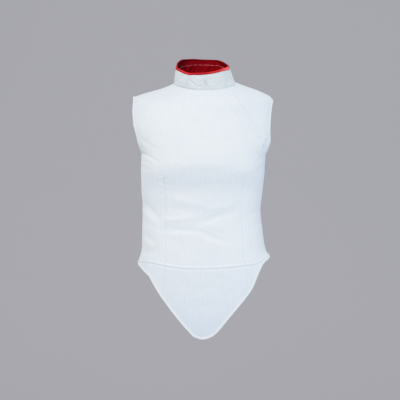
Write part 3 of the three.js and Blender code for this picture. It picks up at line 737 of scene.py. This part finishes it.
def gatherShade(distance, along):
    # Painted shade: short dark dips in a row, where the front is gathered
    look = seamLook
    dips = np.clip(-np.sin(2 * math.pi * along / look["gatherPitch"]), 0, 1)
    reach = swell(along - look["gatherAt"], look["gatherReach"]) * swell(distance - 1.5, 3.2)
    return look["gatherShade"] * dips * reach


clothLayers = []


def sewPanel(name, left, right, bottom, top, seams, restsOn, seed):
    # Seams are an edge and how strongly it puckers
    net = coonsPatch(left, right, bottom, top)
    across, down = netLengths(formPoint(net))
    gaps = {
        "left": (across, down), "right": (across[:, -1:] - across, down),
        "bottom": (down, across), "top": (down[-1:] - down, across),
    }
    extra = np.zeros(across.shape)
    near = np.zeros(across.shape)
    for i, (edge, pull) in enumerate(seams.items()):
        distance, along = gaps[edge]
        isUp = edge in ("left", "right")
        isWelt = edge == "bottom"
        isHip = isWelt or (edge == "top" and name.startswith("apron"))
        # The curve of a princess seam is pressed flat near the armhole
        pressed = 1 - seamLook["press"] * smoothStep(along, seamLook["pressFrom"], seamLook["pressTo"])
        fade = pressed if isUp else 1.0
        extra += fade * seamProfile(distance, isHip, isWelt)
        extra += pull * seamPucker(distance, along, seed + i * 2.3)
        dark = seamLook["hipShade"] if isHip else fade
        # Painted shade in the seam's dip, lighter at the hip
        near = np.maximum(near, dark * swell(distance, seamLook["shadeWidth"]))
        if isUp and pull > 1:
            near = near + gatherShade(distance, along)
    outer, normal = clothPoint(net, extra)
    makeCloth(name + "Cloth", name, foilCloth, (outer, outer - normal * clothThickness),
              grain=grainAt(net) * mm, seamPaintedShade=near)
    clothLayers.append(outer)


# Steps along the edges that the panels share
steps = {
    "lower": 84, "bust": 38, "arm": 48, "shoulder": 28, "front": 124, "side": 38, "back": 120,
    "backSide": 104, "apron": 60, "apronCentre": 76, "apronSide": 30,
}
seamCrowding = 1.4
sideTop = -180.0


def levelEdge(heightAt, fromShare, toShare, part):
    return evenPath(sharePath(heightAt, fromShare, toShare), steps[part] + 1)


def meetHeight(shareAt, edgeAt, height):
    # The height where a seam meets the curve of an edge
    for _ in range(5):
        height = float(edgeAt(shareAt(height)))
    return height


def hipMeeting(shareAt):
    return meetHeight(shareAt, hipSeamHeight, hipHeight)


def hipToBust(shareAt):
    count = steps["lower"] + steps["bust"] + 1
    return evenPath(heightPath(shareAt, hipMeeting(shareAt), princessTop), count, seamCrowding)


hipToBustRight = hipToBust(princessRightShare)
hipToBustLeft = hipToBust(princessLeftShare)
underarmAngle = math.acos((princessTop - armhole["height"]) / armhole["halfHeight"])
closureUp = evenPath(heightPath(closureShare, princessTop, neckHeight), steps["arm"] + steps["shoulder"] + 1)


def upperEdge(side, isFront, share):
    # Up an armhole from the underarm, then along the shoulder seam to the neck
    start = underarmAngle if isFront else math.pi
    return joinPaths(
        (armholePath(side, isFront, start, 0) + (share - side, 0), steps["arm"]),
        (heightPath(share, shoulderHeight, neckHeight), steps["shoulder"]),
    )


def frontCentre():
    left = np.concatenate([hipToBustRight[:-1], upperEdge(-1, True, -1.0)])
    right = np.concatenate([hipToBustLeft[:-1], closureUp])
    bottom = levelEdge(hipSeamHeight, left[0, 0], right[0, 0], "front")
    top = levelEdge(neckHeight, left[-1, 0], right[-1, 0], "front")
    seams = {"left": 1.4, "right": 0.3, "bottom": 0.5, "top": 0.3}
    sewPanel("front_centre", left, right, bottom, top, seams, ["front_side_right", "back"], 0.4)


def frontSide(name, seamUp, side, seed):
    sideSeam = heightPath(float(side), float(hipSeamHeight(side)), sideTop)
    sideSeam = evenPath(sideSeam, len(seamUp), seamCrowding)
    bottom = levelEdge(hipSeamHeight, seamUp[0, 0], side, "side")
    top = evenPath(np.array([seamUp[-1], (side * 0.97, sideTop + 0.4), (side, sideTop)]), steps["side"] + 1)
    seams = {"left": 0.5, "right": 0.4, "bottom": 0.5}
    edges = (seamUp, sideSeam, bottom, top)
    if side < 0:
        seams = {"left": 0.4, "right": 1.4, "bottom": 0.5}
        edges = (sideSeam, seamUp, bottom[::-1], top[::-1])
    sewPanel(name, *edges, seams, ["front_centre", "back"], seed)


def shoulderLeft():
    right = upperEdge(1, True, 1.0)
    bottom = evenPath(np.array([closureUp[0], right[0]]), steps["side"] + 1)
    top = levelEdge(neckHeight, closureUp[-1, 0], 1.0, "side")
    sewPanel("shoulder_left", closureUp, right, bottom, top, {"left": 0.2, "top": 0.3}, ["back"], 3.1)


def backPanel():
    edges = []
    for side, share in ((1, 1.0), (-1, 3.0)):
        sideSeam = evenPath(heightPath(share, float(hemHeight(side)), sideTop), steps["backSide"] + 1)
        edges.append(np.concatenate([sideSeam[:-1], upperEdge(side, False, share)]))
    bottom = levelEdge(hemHeight, 1, 3, "back")
    top = levelEdge(neckHeight, 1, 3, "back")
    sewPanel("back", *edges, bottom, top, {"left": 0.4, "right": 0.4, "top": 0.4}, ["front_centre"], 5.2)


def apronPanel(name, edges, part, seams, seed):
    left, right = [evenPath(edge[::-1], steps["apron"] + 1, seamCrowding)[::-1].copy() for edge in edges]
    bottom = levelEdge(hemHeight, left[0, 0], right[0, 0], part)
    top = levelEdge(hipSeamHeight, edges[0][-1, 0], edges[1][-1, 0], part)
    left[-1], right[-1] = top[0], top[-1]
    sewPanel(name, left, right, bottom, top, seams, ["front_centre"], seed)


def apronPanels():
    right, left = [
        heightPath(share, meetHeight(share, hemHeight, apronSeamEnd), hipMeeting(share))
        for share in (princessRightShare, princessLeftShare)
    ]
    cornerRight, cornerLeft = [
        heightPath(share, float(hemHeight(share)), float(hipSeamHeight(share)))
        for share in (apronCorners["right"], apronCorners["left"])
    ]
    centreSeams = {"left": 0.8, "right": 0.8, "top": 0.7}
    apronPanel("apron_centre", (right, left), "apronCentre", centreSeams, 6.6)
    apronPanel("apron_side_right", (cornerRight, right), "apronSide", {"right": 0.8, "top": 0.6}, 7.9)
    apronPanel("apron_side_left", (left, cornerLeft), "apronSide", {"left": 0.8, "top": 0.6}, 8.8)


frontCentre()
frontSide("front_side_right", hipToBustRight, -1, 1.7)
frontSide("front_side_left", hipToBustLeft, 1, 2.6)
shoulderLeft()
backPanel()
apronPanels()
print("panels sewn")


def clothTree(layers):
    # The net of the outer cloth, for laying what is sewn on it
    points, faces = [], []
    for layer in layers:
        rows, columns = layer.shape[:2]
        index = np.arange(rows * columns).reshape(rows, columns) + len(points)
        quads = np.stack([index[:-1, :-1], index[:-1, 1:], index[1:, 1:], index[1:, :-1]], -1).reshape(-1, 4)
        points.extend(layer.reshape(-1, 3).tolist())
        faces.extend(quads.tolist())
    return BVHTree.FromPolygons(points, faces)


outerCloth = clothTree(clothLayers)
layReach = 6


def layOn(points, normals, lift):
    # Drops each point on the cloth along its normal, and lifts it off by a distance in millimetres
    laid = []
    for point, normal in zip(points.reshape(-1, 3), normals.reshape(-1, 3)):
        outwards = Vector(normal)
        hit = outerCloth.ray_cast(Vector(point) + outwards * layReach, -outwards, 2 * layReach)[0]
        laid.append(tuple(hit if hit is not None else point))
    return np.array(laid).reshape(points.shape) + normals * np.asarray(lift)[..., None]


# The flap runs from its inner edge to its outer edge, in millimetres beside the closure seam. A stitched
# groove follows the outer edge, and the cloth stands up in a puckered ridge beside it. Its inner edge stands
# clear between two heights near the neck.
flapLook = {
    "inner": -19.0, "outer": 12.5, "top": -22.0, "bottom": -171.0, "rows": 118, "columns": 40,
    "groove": 8.0, "grooveWidth": 2.3, "grooveShade": 2.2, "shelf": 1.4, "ridge": 1.6, "ridgeAt": 6.0,
    "ridgeWidth": 2.9, "pucker": 0.5, "puckerPitch": 5.2, "thickness": 1.5, "lowThickness": 0.4, "lift": 0.3,
    "clearFrom": (-86, -66), "clearTo": (-48, -36), "shelfAt": (-1.0, 5.0), "edgeWidth": 0.8,
    "ripple": (0.2, 6.3, 17.0, 1.0), "rippleReach": 9.0,
}


def closureFlap():
    look = flapLook
    path = evenPath(heightPath(closureShare, look["bottom"], look["top"]), look["rows"])
    offsets = np.linspace(look["inner"], look["outer"], look["columns"])
    net = np.stack([pathBeside(path, -offset) for offset in offsets], 1)
    base, normal = clothPoint(net)
    along = netLengths(base)[1]
    edge = np.minimum(offsets - look["inner"], look["outer"] - offsets)
    height = net[..., 1]
    high = smoothStep(height, *look["clearFrom"]) * (1 - 0.8 * smoothStep(height, *look["clearTo"]))
    thickness = look["lowThickness"] + (look["thickness"] - look["lowThickness"]) * high
    fromGroove = look["groove"] - offsets
    groove = swell(fromGroove, look["grooveWidth"])
    shelf = look["shelf"] * smoothStep(offsets, *look["shelfAt"])
    beside = swell(fromGroove - look["ridgeAt"], look["ridgeWidth"])
    pucker = look["pucker"] * np.sin(2 * math.pi * along / look["puckerPitch"] + 1.2 * np.sin(along / 11.0))
    uneven = ripple(along, *look["ripple"]) * np.exp(-(edge / look["rippleReach"]))
    stand = thickness + shelf + beside * (look["ridge"] + pucker * (1 - 0.6 * high)) + uneven
    stand = stand * (1 - 0.75 * np.exp(-edge / look["edgeWidth"])) * (1 - 0.93 * groove)
    inner = layOn(base, normal, np.full(base.shape[:2], look["lift"] * 0.4))
    outer = layOn(base, normal, look["lift"] + np.maximum(stand, 0.1))
    # Painted shade in the stitched groove and along the edges where the flap stands clear
    near = np.maximum(swell(edge, 1.5) * 0.4 * high, look["grooveShade"] * swell(fromGroove, 1.7))
    makeCloth("closureFlap", "closure_flap", foilCloth, (outer, inner),
              seamPaintedShade=near)
    return outer


flapOuter = closureFlap()
print("closure flap laid")

# Collar: the same lap as the frame's, with a fuller roll at the outer end
collarTop = {"halfWidth": 68, "sway": -0.8, "frontDepth": 59, "backDepth": 62}
# Heights of the collar's top edge, as share and height
collarEdge = [
    (-2, 57.5), (-1.75, 59), (-1.45, 58.5), (-1.2, 51.5), (-1, 41.5), (-0.85, 38.5), (-0.6, 33.5),
    (-0.45, 29), (-0.3, 26.5), (0, 27.5), (0.2, 30), (0.45, 35.5), (0.8, 41), (1, 43.5), (1.25, 47.5),
    (1.4, 52), (1.65, 57), (2, 57.5),
]
collarEdgeHeight = smoothCurve(collarEdge)
collarLap = {
    "innerEnd": -3.55, "outerEnd": 0.7, "rampStart": -0.1, "rampEnd": 0.28, "stand": 5.3, "drop": 4.5,
    "lift": 4.1, "foot": 0.5,
}
collarLook = {
    "thickness": 1.4, "rows": 30, "columns": 350, "belly": 0.9, "uneven": 0.25, "unevenTurns": 9.0,
    "footDip": 0.8, "footWidth": 1.6, "reach": 3.4, "reachWidth": 2.4, "footShade": 0.45, "shadeWidth": 2.6,
}
liningLook = {"thickness": 0.9, "gap": 0.3, "foot": 0.05, "rows": 16, "inset": 0.004, "uneven": 0.18}
rimLook = {"reach": 4.0, "inside": 1.0, "lift": 0.3, "thickness": 0.9, "points": 230, "endBulge": 3.0}
collarSteps = (0.001, 0.01)
# Millimetres of the band for each share round it and for its whole rise
collarScale = np.array((112.0, 36.0))
# Creases of the band: the share and rise of both ends, then the width and depth in millimetres
collarCreases = [
    (-0.41, 0.76, -0.12, 0.13, 2.2, -3.6),
    (-0.12, 0.13, -0.03, 0.30, 2.0, -3.2),
    (0.01, 0.62, 0.06, 0.12, 1.7, -3.6),
    (-0.30, 0.92, -0.06, 0.62, 4.0, 1.2),
    (-0.80, 0.30, -0.55, 0.12, 3.0, -1.8),
    (-0.86, 0.75, -0.66, 0.35, 3.6, -1.4),
    (0.24, 0.85, 0.40, 0.25, 2.8, -1.6),
    (0.50, 0.70, 0.62, 0.30, 2.8, -1.2),
    (-1.3, 0.7, -1.1, 0.25, 3.4, -1.6),
    (-1.75, 0.85, -1.6, 0.3, 3.6, -1.4),
    (-2.2, 0.75, -2.02, 0.3, 3.8, -1.6),
    (-2.5, 0.35, -2.3, 0.12, 3.6, -1.2),
    (-2.9, 0.6, -2.75, 0.2, 3.4, -1.5),
]


def collarForm(places):
    share, rise = places[..., 0], places[..., 1]
    ramp = smoothStep(share, collarLap["rampStart"], collarLap["rampEnd"])
    foot = formPoint(np.stack([share, neckHeight - collarLap["drop"] * ramp], -1))
    foot[..., 2] += collarLap["foot"] + collarLap["lift"] * ramp
    angle = wrapShare(share) * math.pi / 2
    isFront = np.abs(wrapShare(share)) <= 1
    depth = np.where(isFront, collarTop["frontDepth"], collarTop["backDepth"])
    stand = collarLap["stand"] * ramp
    top = np.stack([
        collarTop["sway"] + (collarTop["halfWidth"] + stand) * np.sin(angle),
        -(depth + stand) * np.cos(angle),
        collarEdgeHeight(wrapShare(share)),
    ], -1)
    return foot + (top - foot) * rise[..., None]


def collarPoint(places, outward=0.0):
    base = collarForm(places)
    normal = unit(np.cross(*slopesOf(collarForm, places, collarSteps)))
    share, rise = places[..., 0], places[..., 1]
    # The band bellies out between its seam and its rim
    belly = np.sin(math.pi * np.clip(rise, 0, 1))
    lift = (collarLook["belly"] + collarLook["uneven"] * np.sin(share * collarLook["unevenTurns"])) * belly
    for *ends, width, depth in collarCreases:
        start, end = np.array(ends).reshape(2, 2) * collarScale
        t, gap = nearLine(places * collarScale, start, end - start)
        distance = np.linalg.norm(gap, axis=-1)
        lift = lift + depth * swell(distance, width) * (0.3 + 0.7 * np.sin(math.pi * t))
    return base + normal * (lift + outward)[..., None], normal


def collarNet(fromRise, toRise, rows, inset=0.0):
    shares = np.linspace(collarLap["innerEnd"] + inset, collarLap["outerEnd"] - inset, collarLook["columns"])
    rises = np.linspace(fromRise, toRise, rows)
    return np.stack(np.meshgrid(shares, rises), -1)


def collarBand():
    look = collarLook
    net = collarNet(0, 1, look["rows"])
    distance = net[..., 1] * collarScale[1]
    outer, normal = collarPoint(net, -look["footDip"] * swell(distance, look["footWidth"]))
    # The outer end reaches down to the yoke, over the gap that its lap leaves
    ramp = smoothStep(net[..., 0], collarLap["rampStart"], collarLap["rampEnd"])
    outer[..., 2] -= ramp * swell(distance, look["reachWidth"]) * look["reach"]
    inner = outer - normal * look["thickness"]
    # Painted shade along the collar's foot seam
    near = look["footShade"] * swell(distance, look["shadeWidth"])
    makeCloth("collarBand", "collar", collarFoilPaintedShade, (outer, inner),
              seamPaintedShade=near)


def collarLining():
    look = liningLook
    net = collarNet(look["foot"], 1.0, look["rows"], look["inset"])
    uneven = look["uneven"] * np.sin(net[..., 0] * 41.0) * np.sin(net[..., 1] * 7.0)
    outer, normal = collarPoint(net, uneven - collarLook["thickness"] - look["gap"])
    inner = outer - normal * look["thickness"]
    makeCloth("collarLining", "collar_lining", redPile, (outer, inner), cut=inner)
    return inner, -normal


facingLook = {
    "from": 1.15, "to": 2.85, "top": -1.2, "drop": 17.36, "behind": 0.9, "thickness": 0.8,
    "rows": 14, "columns": 90,
}


def neckFacing():
    look = facingLook
    shares = np.linspace(look["from"], look["to"], look["columns"])
    heights = neckHeight + look["top"] + np.linspace(-look["drop"], 0, look["rows"])
    net = np.stack(np.meshgrid(shares, heights), -1)
    outer, normal = clothPoint(net, np.full(net.shape[:2], -clothThickness - look["behind"]))
    inner = outer - normal * look["thickness"]
    makeCloth("neckFacing", "back_neck_facing", redPile, (outer, inner), cut=inner)


collarBand()
liningInner, liningNormal = collarLining()
neckFacing()
print("collar set in")


def tapeSection(width, stack, lift, thickness, roundness, innerWidth=None, turns=7):
    # A folded tape in cross-section, as sideways and outward distances of its outer and inner faces
    turn = np.linspace(math.pi / 2, -math.pi / 2, turns)
    halfStack = stack / 2 + lift
    outerRadius = halfStack + thickness
    outerFold, innerFold = [
        np.stack([np.cos(turn) * roundness * radius, np.sin(turn) * radius - stack / 2], -1)
        for radius in (outerRadius, halfStack)
    ]
    outerTop, innerTop = outerRadius - stack / 2, halfStack - stack / 2
    outerLeg, innerLeg = [], []
    for reach in (width, innerWidth or width):
        places = np.array([-reach, -reach * 0.55])
        outerLeg.append(np.stack([places, [outerTop - 0.25, outerTop + 0.12]], -1))
        innerLeg.append(np.stack([places, [innerTop] * 2], -1))
    # The second leg is the first one turned over to the far side of the stack
    flip = np.array([1, -1])
    below = np.array([0, -stack])
    outer = np.concatenate([outerLeg[0], outerFold, (outerLeg[1] * flip + below)[::-1]])
    inner = np.concatenate([innerLeg[0], innerFold, (innerLeg[1] * flip + below)[::-1]])
    return outer, inner


def bindEdge(name, node, material, path, section, isRing, wobble, endBulge=0.0):
    points, normals, sideways = path
    along = pathLength(points)
    fullness = 1 + ripple(along, wobble, *tapeRipple)
    fullness = fullness + endBulge * swell(along[-1] - along - 3.0, 5.0)

    def sweep(flat):
        out = flat[None, :, 1] * np.where(flat[None, :, 1] > 0, fullness[:, None], 1)
        return points[:, None] + sideways[:, None] * flat[None, :, :1] + normals[:, None] * out[..., None]

    outer, inner = [sweep(flat) for flat in section]
    closed = np.concatenate([outer, outer[:1]]) if isRing else outer
    makeCloth(name, node, material, (outer, inner), cut=closed, isRing=isRing)


tapeSizes = {"width": 5.0, "stack": 1.2, "lift": 0.35, "thickness": 0.7, "roundness": 0.9}
tapeRipple = (5.1, 13.7, 0.6)
edgePoints = {"armhole": 171, "armholeDraft": 150, "hem": 421, "hemDraft": 900}


def armholeBinding(side):
    name = "left" if side > 0 else "right"
    front = armholePath(side, True, 0, math.pi, edgePoints["armholeDraft"])
    back = armholePath(side, False, math.pi, 0, edgePoints["armholeDraft"])
    loop = np.concatenate([front, back[1:-1], front[:1]])
    points, normal = clothPoint(evenPath(loop, edgePoints["armhole"])[:-1])
    sideways = unit(np.cross(normal, tangentsOf(points, True)))
    # Sideways points in over the hole
    sideways *= np.sign(((points.mean(0) - points) * sideways).sum(-1))[:, None]
    path = points, normal, sideways
    bindEdge(f"armholeTape{name.capitalize()}", f"armhole_binding_{name}", edgeTape, path,
             tapeSection(**tapeSizes), True, 0.12)
    return path


def hemBinding():
    loop = sharePath(hemHeight, -1, 3, edgePoints["hemDraft"])
    points, normal = clothPoint(evenPath(loop, edgePoints["hem"])[:-1])
    path = points, normal, unit(np.cross(tangentsOf(points, True), normal))
    bindEdge("hemTape", "hem_binding", edgeTape, path, tapeSection(**tapeSizes), True,
             0.1)
    return path


def collarRim():
    look = rimLook
    shares = np.linspace(collarLap["innerEnd"], collarLap["outerEnd"], look["points"])
    points, normal = collarPoint(np.stack([shares, np.ones(look["points"])], -1))
    sideways = unit(np.cross(normal, tangentsOf(points, False)))
    sideways *= np.sign(sideways[:, 2:3])
    stack = collarLook["thickness"] + liningLook["gap"] + liningLook["thickness"]
    section = tapeSection(look["reach"], stack, look["lift"], look["thickness"], 1.0, look["inside"], 9)
    bindEdge("collarRim", "collar_binding", redEdge, (points, normal, sideways), section, False,
             0.16, look["endBulge"])


armTapes = {side: armholeBinding(side) for side in (-1, 1)}
hemTape = hemBinding()
collarRim()
print("edges bound")


def stitchTree(name):
    # Lays one stitch after another along a line: a flattened bead turned to the line's direction
    tree = bpy.data.node_groups.new(name, "GeometryNodeTree")
    face = tree.interface
    face.new_socket("Line", in_out="INPUT", socket_type="NodeSocketGeometry")
    for label, value in (("Pitch", 0.003), ("Stitch Length", 0.0022), ("Thread Radius", 0.0003), ("Seed", 7)):
        kind = "NodeSocketInt" if label == "Seed" else "NodeSocketFloat"
        face.new_socket(label, in_out="INPUT", socket_type=kind).default_value = value
    face.new_socket("Thread", in_out="INPUT", socket_type="NodeSocketMaterial")
    face.new_socket("Stitches", in_out="OUTPUT", socket_type="NodeSocketGeometry")

    def add(kind, settings=None, values=None):
        node = tree.nodes.new(kind)
        for key, value in (settings or {}).items():
            setattr(node, key, value)
        for key, value in (values or {}).items():
            node.inputs[key].default_value = value
        return node

    given, result = add("NodeGroupInput"), add("NodeGroupOutput")
    curve = add("GeometryNodeMeshToCurve")
    even = add("GeometryNodeResampleCurve", {"mode": "LENGTH"})
    tangent = add("GeometryNodeInputTangent")
    turn = add("FunctionNodeAlignRotationToVector", {"axis": "Z"})
    bead = add("GeometryNodeMeshUVSphere", {}, {"Segments": 6, "Rings": 5, "Radius": 1.0})
    half = add("ShaderNodeMath", {"operation": "MULTIPLY"}, {1: 0.5})
    size = add("ShaderNodeCombineXYZ")
    vary = add("FunctionNodeRandomValue", {}, {2: 0.86, 3: 1.12})
    grow = add("ShaderNodeVectorMath", {"operation": "SCALE"})
    place = add("GeometryNodeInstanceOnPoints")
    real = add("GeometryNodeRealizeInstances")
    smooth = add("GeometryNodeSetShadeSmooth")
    paint = add("GeometryNodeSetMaterial")
    for source, output, target, entry in (
        (given, "Line", curve, "Mesh"), (curve, "Curve", even, "Curve"), (given, "Pitch", even, "Length"),
        (tangent, "Tangent", turn, "Vector"), (given, "Stitch Length", half, 0),
        (given, "Thread Radius", size, "X"), (given, "Thread Radius", size, "Y"), (half, 0, size, "Z"),
        (given, "Seed", vary, "Seed"), (size, 0, grow, 0), (vary, 1, grow, "Scale"),
        (even, "Curve", place, "Points"), (bead, "Mesh", place, "Instance"),
        (turn, "Rotation", place, "Rotation"), (grow, "Vector", place, "Scale"),
        (place, "Instances", real, "Geometry"), (real, "Geometry", smooth, "Geometry"),
        (smooth, "Geometry", paint, "Geometry"), (given, "Thread", paint, "Material"),
        (paint, "Geometry", result, "Stitches"),
    ):
        tree.links.new(source.outputs[output], target.inputs[entry])
    return tree


stitches = stitchTree("stitchLine")


def sewLines(name, lines, thread, pitch=3.2, length=2.4, radius=0.32, seed=7):
    points, edges = [], []
    for line, isRing in lines:
        start = len(points)
        points.extend((line * mm).tolist())
        count = len(line)
        edges.extend((start + i, start + i + 1) for i in range(count - 1))
        if isRing:
            edges.append((start + count - 1, start))
    mesh = bpy.data.meshes.new(name)
    mesh.from_pydata(points, edges, [])
    piece = addObject(name, mesh)
    modifier = piece.modifiers.new("stitches", "NODES")
    modifier.node_group = stitches
    values = {
        "Pitch": pitch * mm, "Stitch Length": length * mm, "Thread Radius": radius * mm, "Seed": seed,
        "Thread": thread,
    }
    for item in stitches.interface.items_tree:
        if item.item_type == "SOCKET" and item.name in values:
            modifier[item.identifier] = values[item.name]
    bpy.context.view_layer.update()
    evaluated = piece.evaluated_get(bpy.context.evaluated_depsgraph_get())
    plain = bpy.data.meshes.new_from_object(evaluated)
    piece.modifiers.clear()
    piece.data = plain
    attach(piece, body)
    print(f"  {name}: {len(plain.polygons)} faces")


stitchLook = {
    "princess": 3.0, "plain": 2.6, "lift": 0.12, "tapeInset": 0.62, "chest": -130.0, "collarRise": 0.1,
    "collarEnd": 0.02, "liningRow": 10,
}
linePoints = {"apron": 40, "hip": 160, "side": 90, "shoulder": 40, "collar": 260}


def besideSeam(path, distance):
    points, normal = clothPoint(pathBeside(path, distance))
    return layOn(points, normal, np.full(len(points), stitchLook["lift"]))


def seamStitches():
    wide, plain = stitchLook["princess"], stitchLook["plain"]
    princess = [up[3:-14] for up in (hipToBustRight, hipToBustLeft)]
    for share in (princessRightShare, princessLeftShare):
        princess.append(evenPath(heightPath(share, apronSeamEnd + 8, hipHeight + 3), linePoints["apron"]))
    hip = evenPath(sharePath(hipSeamHeight, -0.93, 0.9), linePoints["hip"])
    sides, shoulders = [], []
    for share in (1.0, -1.0):
        shoulder = heightPath(share, shoulderHeight + 5, neckHeight - 2)
        shoulders.append(evenPath(shoulder, linePoints["shoulder"]))
        sides.append(evenPath(heightPath(share, -440.0, sideTop - 8), linePoints["side"]))
    pairs = [(path, distance) for path in princess for distance in (wide, -wide)]
    pairs += [(path, plain) for path in [hip] + sides] + list(zip(shoulders, (plain, -plain)))
    lines = [(besideSeam(path, distance), False) for path, distance in pairs]
    sewLines("seamStitches", lines, whiteThread)


def flapStitches():
    # Out from the middle of the chest
    raised = flapOuter + unit(flapOuter - np.array((0, 0, stitchLook["chest"]))) * stitchLook["lift"]
    lines = [(raised[2:-1, 2], False), (raised[2:-1, -3], False), (raised[2, 1:-1], False)]
    sewLines("flapStitches", lines, whiteThread, seed=11)


def tapeStitches():
    inset = tapeSizes["width"] * stitchLook["tapeInset"]
    height = tapeSizes["lift"] + tapeSizes["thickness"] + stitchLook["lift"]
    lines = []
    for points, normal, sideways in (armTapes[-1], armTapes[1], hemTape):
        middle = points - sideways * inset
        lines.append((middle + normal * height, True))
        lines.append((middle - normal * (height + tapeSizes["stack"]), True))
    sewLines("tapeStitches", lines, whiteThread, pitch=3.0, length=2.2, radius=0.26, seed=13)


def collarStitches():
    look = stitchLook
    start, end = collarLap["innerEnd"] + look["collarEnd"], collarLap["outerEnd"] - look["collarEnd"]
    shares = np.linspace(start, end, linePoints["collar"])
    low, normal = collarPoint(np.stack([shares, np.full(len(shares), look["collarRise"])], -1))
    sewLines("collarStitches", [(low + normal * 0.1, False)], whiteThread, seed=17)
    inside = liningInner[look["liningRow"]] + liningNormal[look["liningRow"]] * 0.2
    sewLines("liningStitches", [(inside, False)], roseThread, pitch=3.0, radius=0.34, seed=19)


seamStitches()
flapStitches()
tapeStitches()
collarStitches()
print("stitching done")

# Studio: a pale floor that sweeps up behind, one large soft light above the front and two soft fills
studio = {
    "floor": -1.9, "back": 7.0, "bend": 3.0, "halfWidth": 9.0, "front": -8.0, "top": 7.0,
    "grey": (0.319, 0.283, 0.315), "world": 0.66, "worldTint": (0.66, 0.83, 1.0),
}
lights = {
    "key": {"place": (-0.8, -2.35, 2.6), "size": 1.6, "power": 755.0, "colour": (1.0, 0.97, 0.90)},
    "fillLeft": {"place": (-3.2, -2.0, 0.4), "size": 2.2, "power": 168.0, "colour": (1.0, 0.95, 0.86)},
    "fillRight": {"place": (2.8, -2.7, -0.6), "size": 2.4, "power": 490.0, "colour": (0.60, 0.81, 1.0)},
    "rear": {"place": (0.6, 2.2, 2.4), "size": 2.0, "power": 70.0, "colour": (1.0, 1.0, 1.0)},
}


def makeStage():
    look = studio
    angles = np.linspace(0, math.pi / 2, 14)
    profile = [(look["front"], look["floor"])]
    profile += [(look["back"] - look["bend"] + look["bend"] * math.sin(a),
                 look["floor"] + look["bend"] * (1 - math.cos(a))) for a in angles]
    profile.append((look["back"], look["top"]))
    points = [(x, y, z) for y, z in profile for x in (-look["halfWidth"], look["halfWidth"])]
    faces = [(2 * i, 2 * i + 1, 2 * i + 3, 2 * i + 2) for i in range(len(profile) - 1)]
    mesh = bpy.data.meshes.new("sweep")
    mesh.from_pydata(points, [], faces)
    mesh.polygons.foreach_set("use_smooth", [True] * len(faces))
    finish = Finish("sweepPaper")
    tone = finish.noise(finish.place(), 1.2, 2.0)
    shade = tuple(c * 0.97 for c in look["grey"])
    finish.set(**{"Base Color": finish.mix(tone, look["grey"], shade), "Roughness": 0.9})
    mesh.materials.append(finish.material)
    addObject("sweep", mesh)


def makeLights():
    aim = Vector((0, 0, -0.3))
    for name, look in lights.items():
        lamp = bpy.data.lights.new(name, "AREA")
        lamp.shape = "SQUARE"
        lamp.size, lamp.energy, lamp.color = look["size"], look["power"], look["colour"]
        holder = addObject(name, lamp)
        holder.location = look["place"]
        holder.rotation_euler = (aim - Vector(look["place"])).to_track_quat("-Z", "Y").to_euler()
    world = bpy.data.worlds.new("softRoom")
    world.use_nodes = True
    background = next(n for n in world.node_tree.nodes if n.type == "BACKGROUND")
    background.inputs["Color"].default_value = (*studio["worldTint"], 1)
    background.inputs["Strength"].default_value = studio["world"]
    bpy.context.scene.world = world


def makeCamera():
    look = cameraSet
    lens = bpy.data.cameras.new("camera")
    lens.sensor_width = look["sensor"]
    lens.lens = look["sensor"] * look["distance"] / look["seenWidth"]
    lens.clip_end = 60
    tilt = math.radians(look["elevation"])
    away = Vector((0, -math.cos(tilt), math.sin(tilt)))
    camera = addObject("camera", lens)
    camera.location = Vector(look["target"]) + away * look["distance"]
    camera.rotation_euler = (-away).to_track_quat("-Z", "Y").to_euler()
    bpy.context.scene.camera = camera


makeStage()
makeLights()
makeCamera()
print("studio ready")
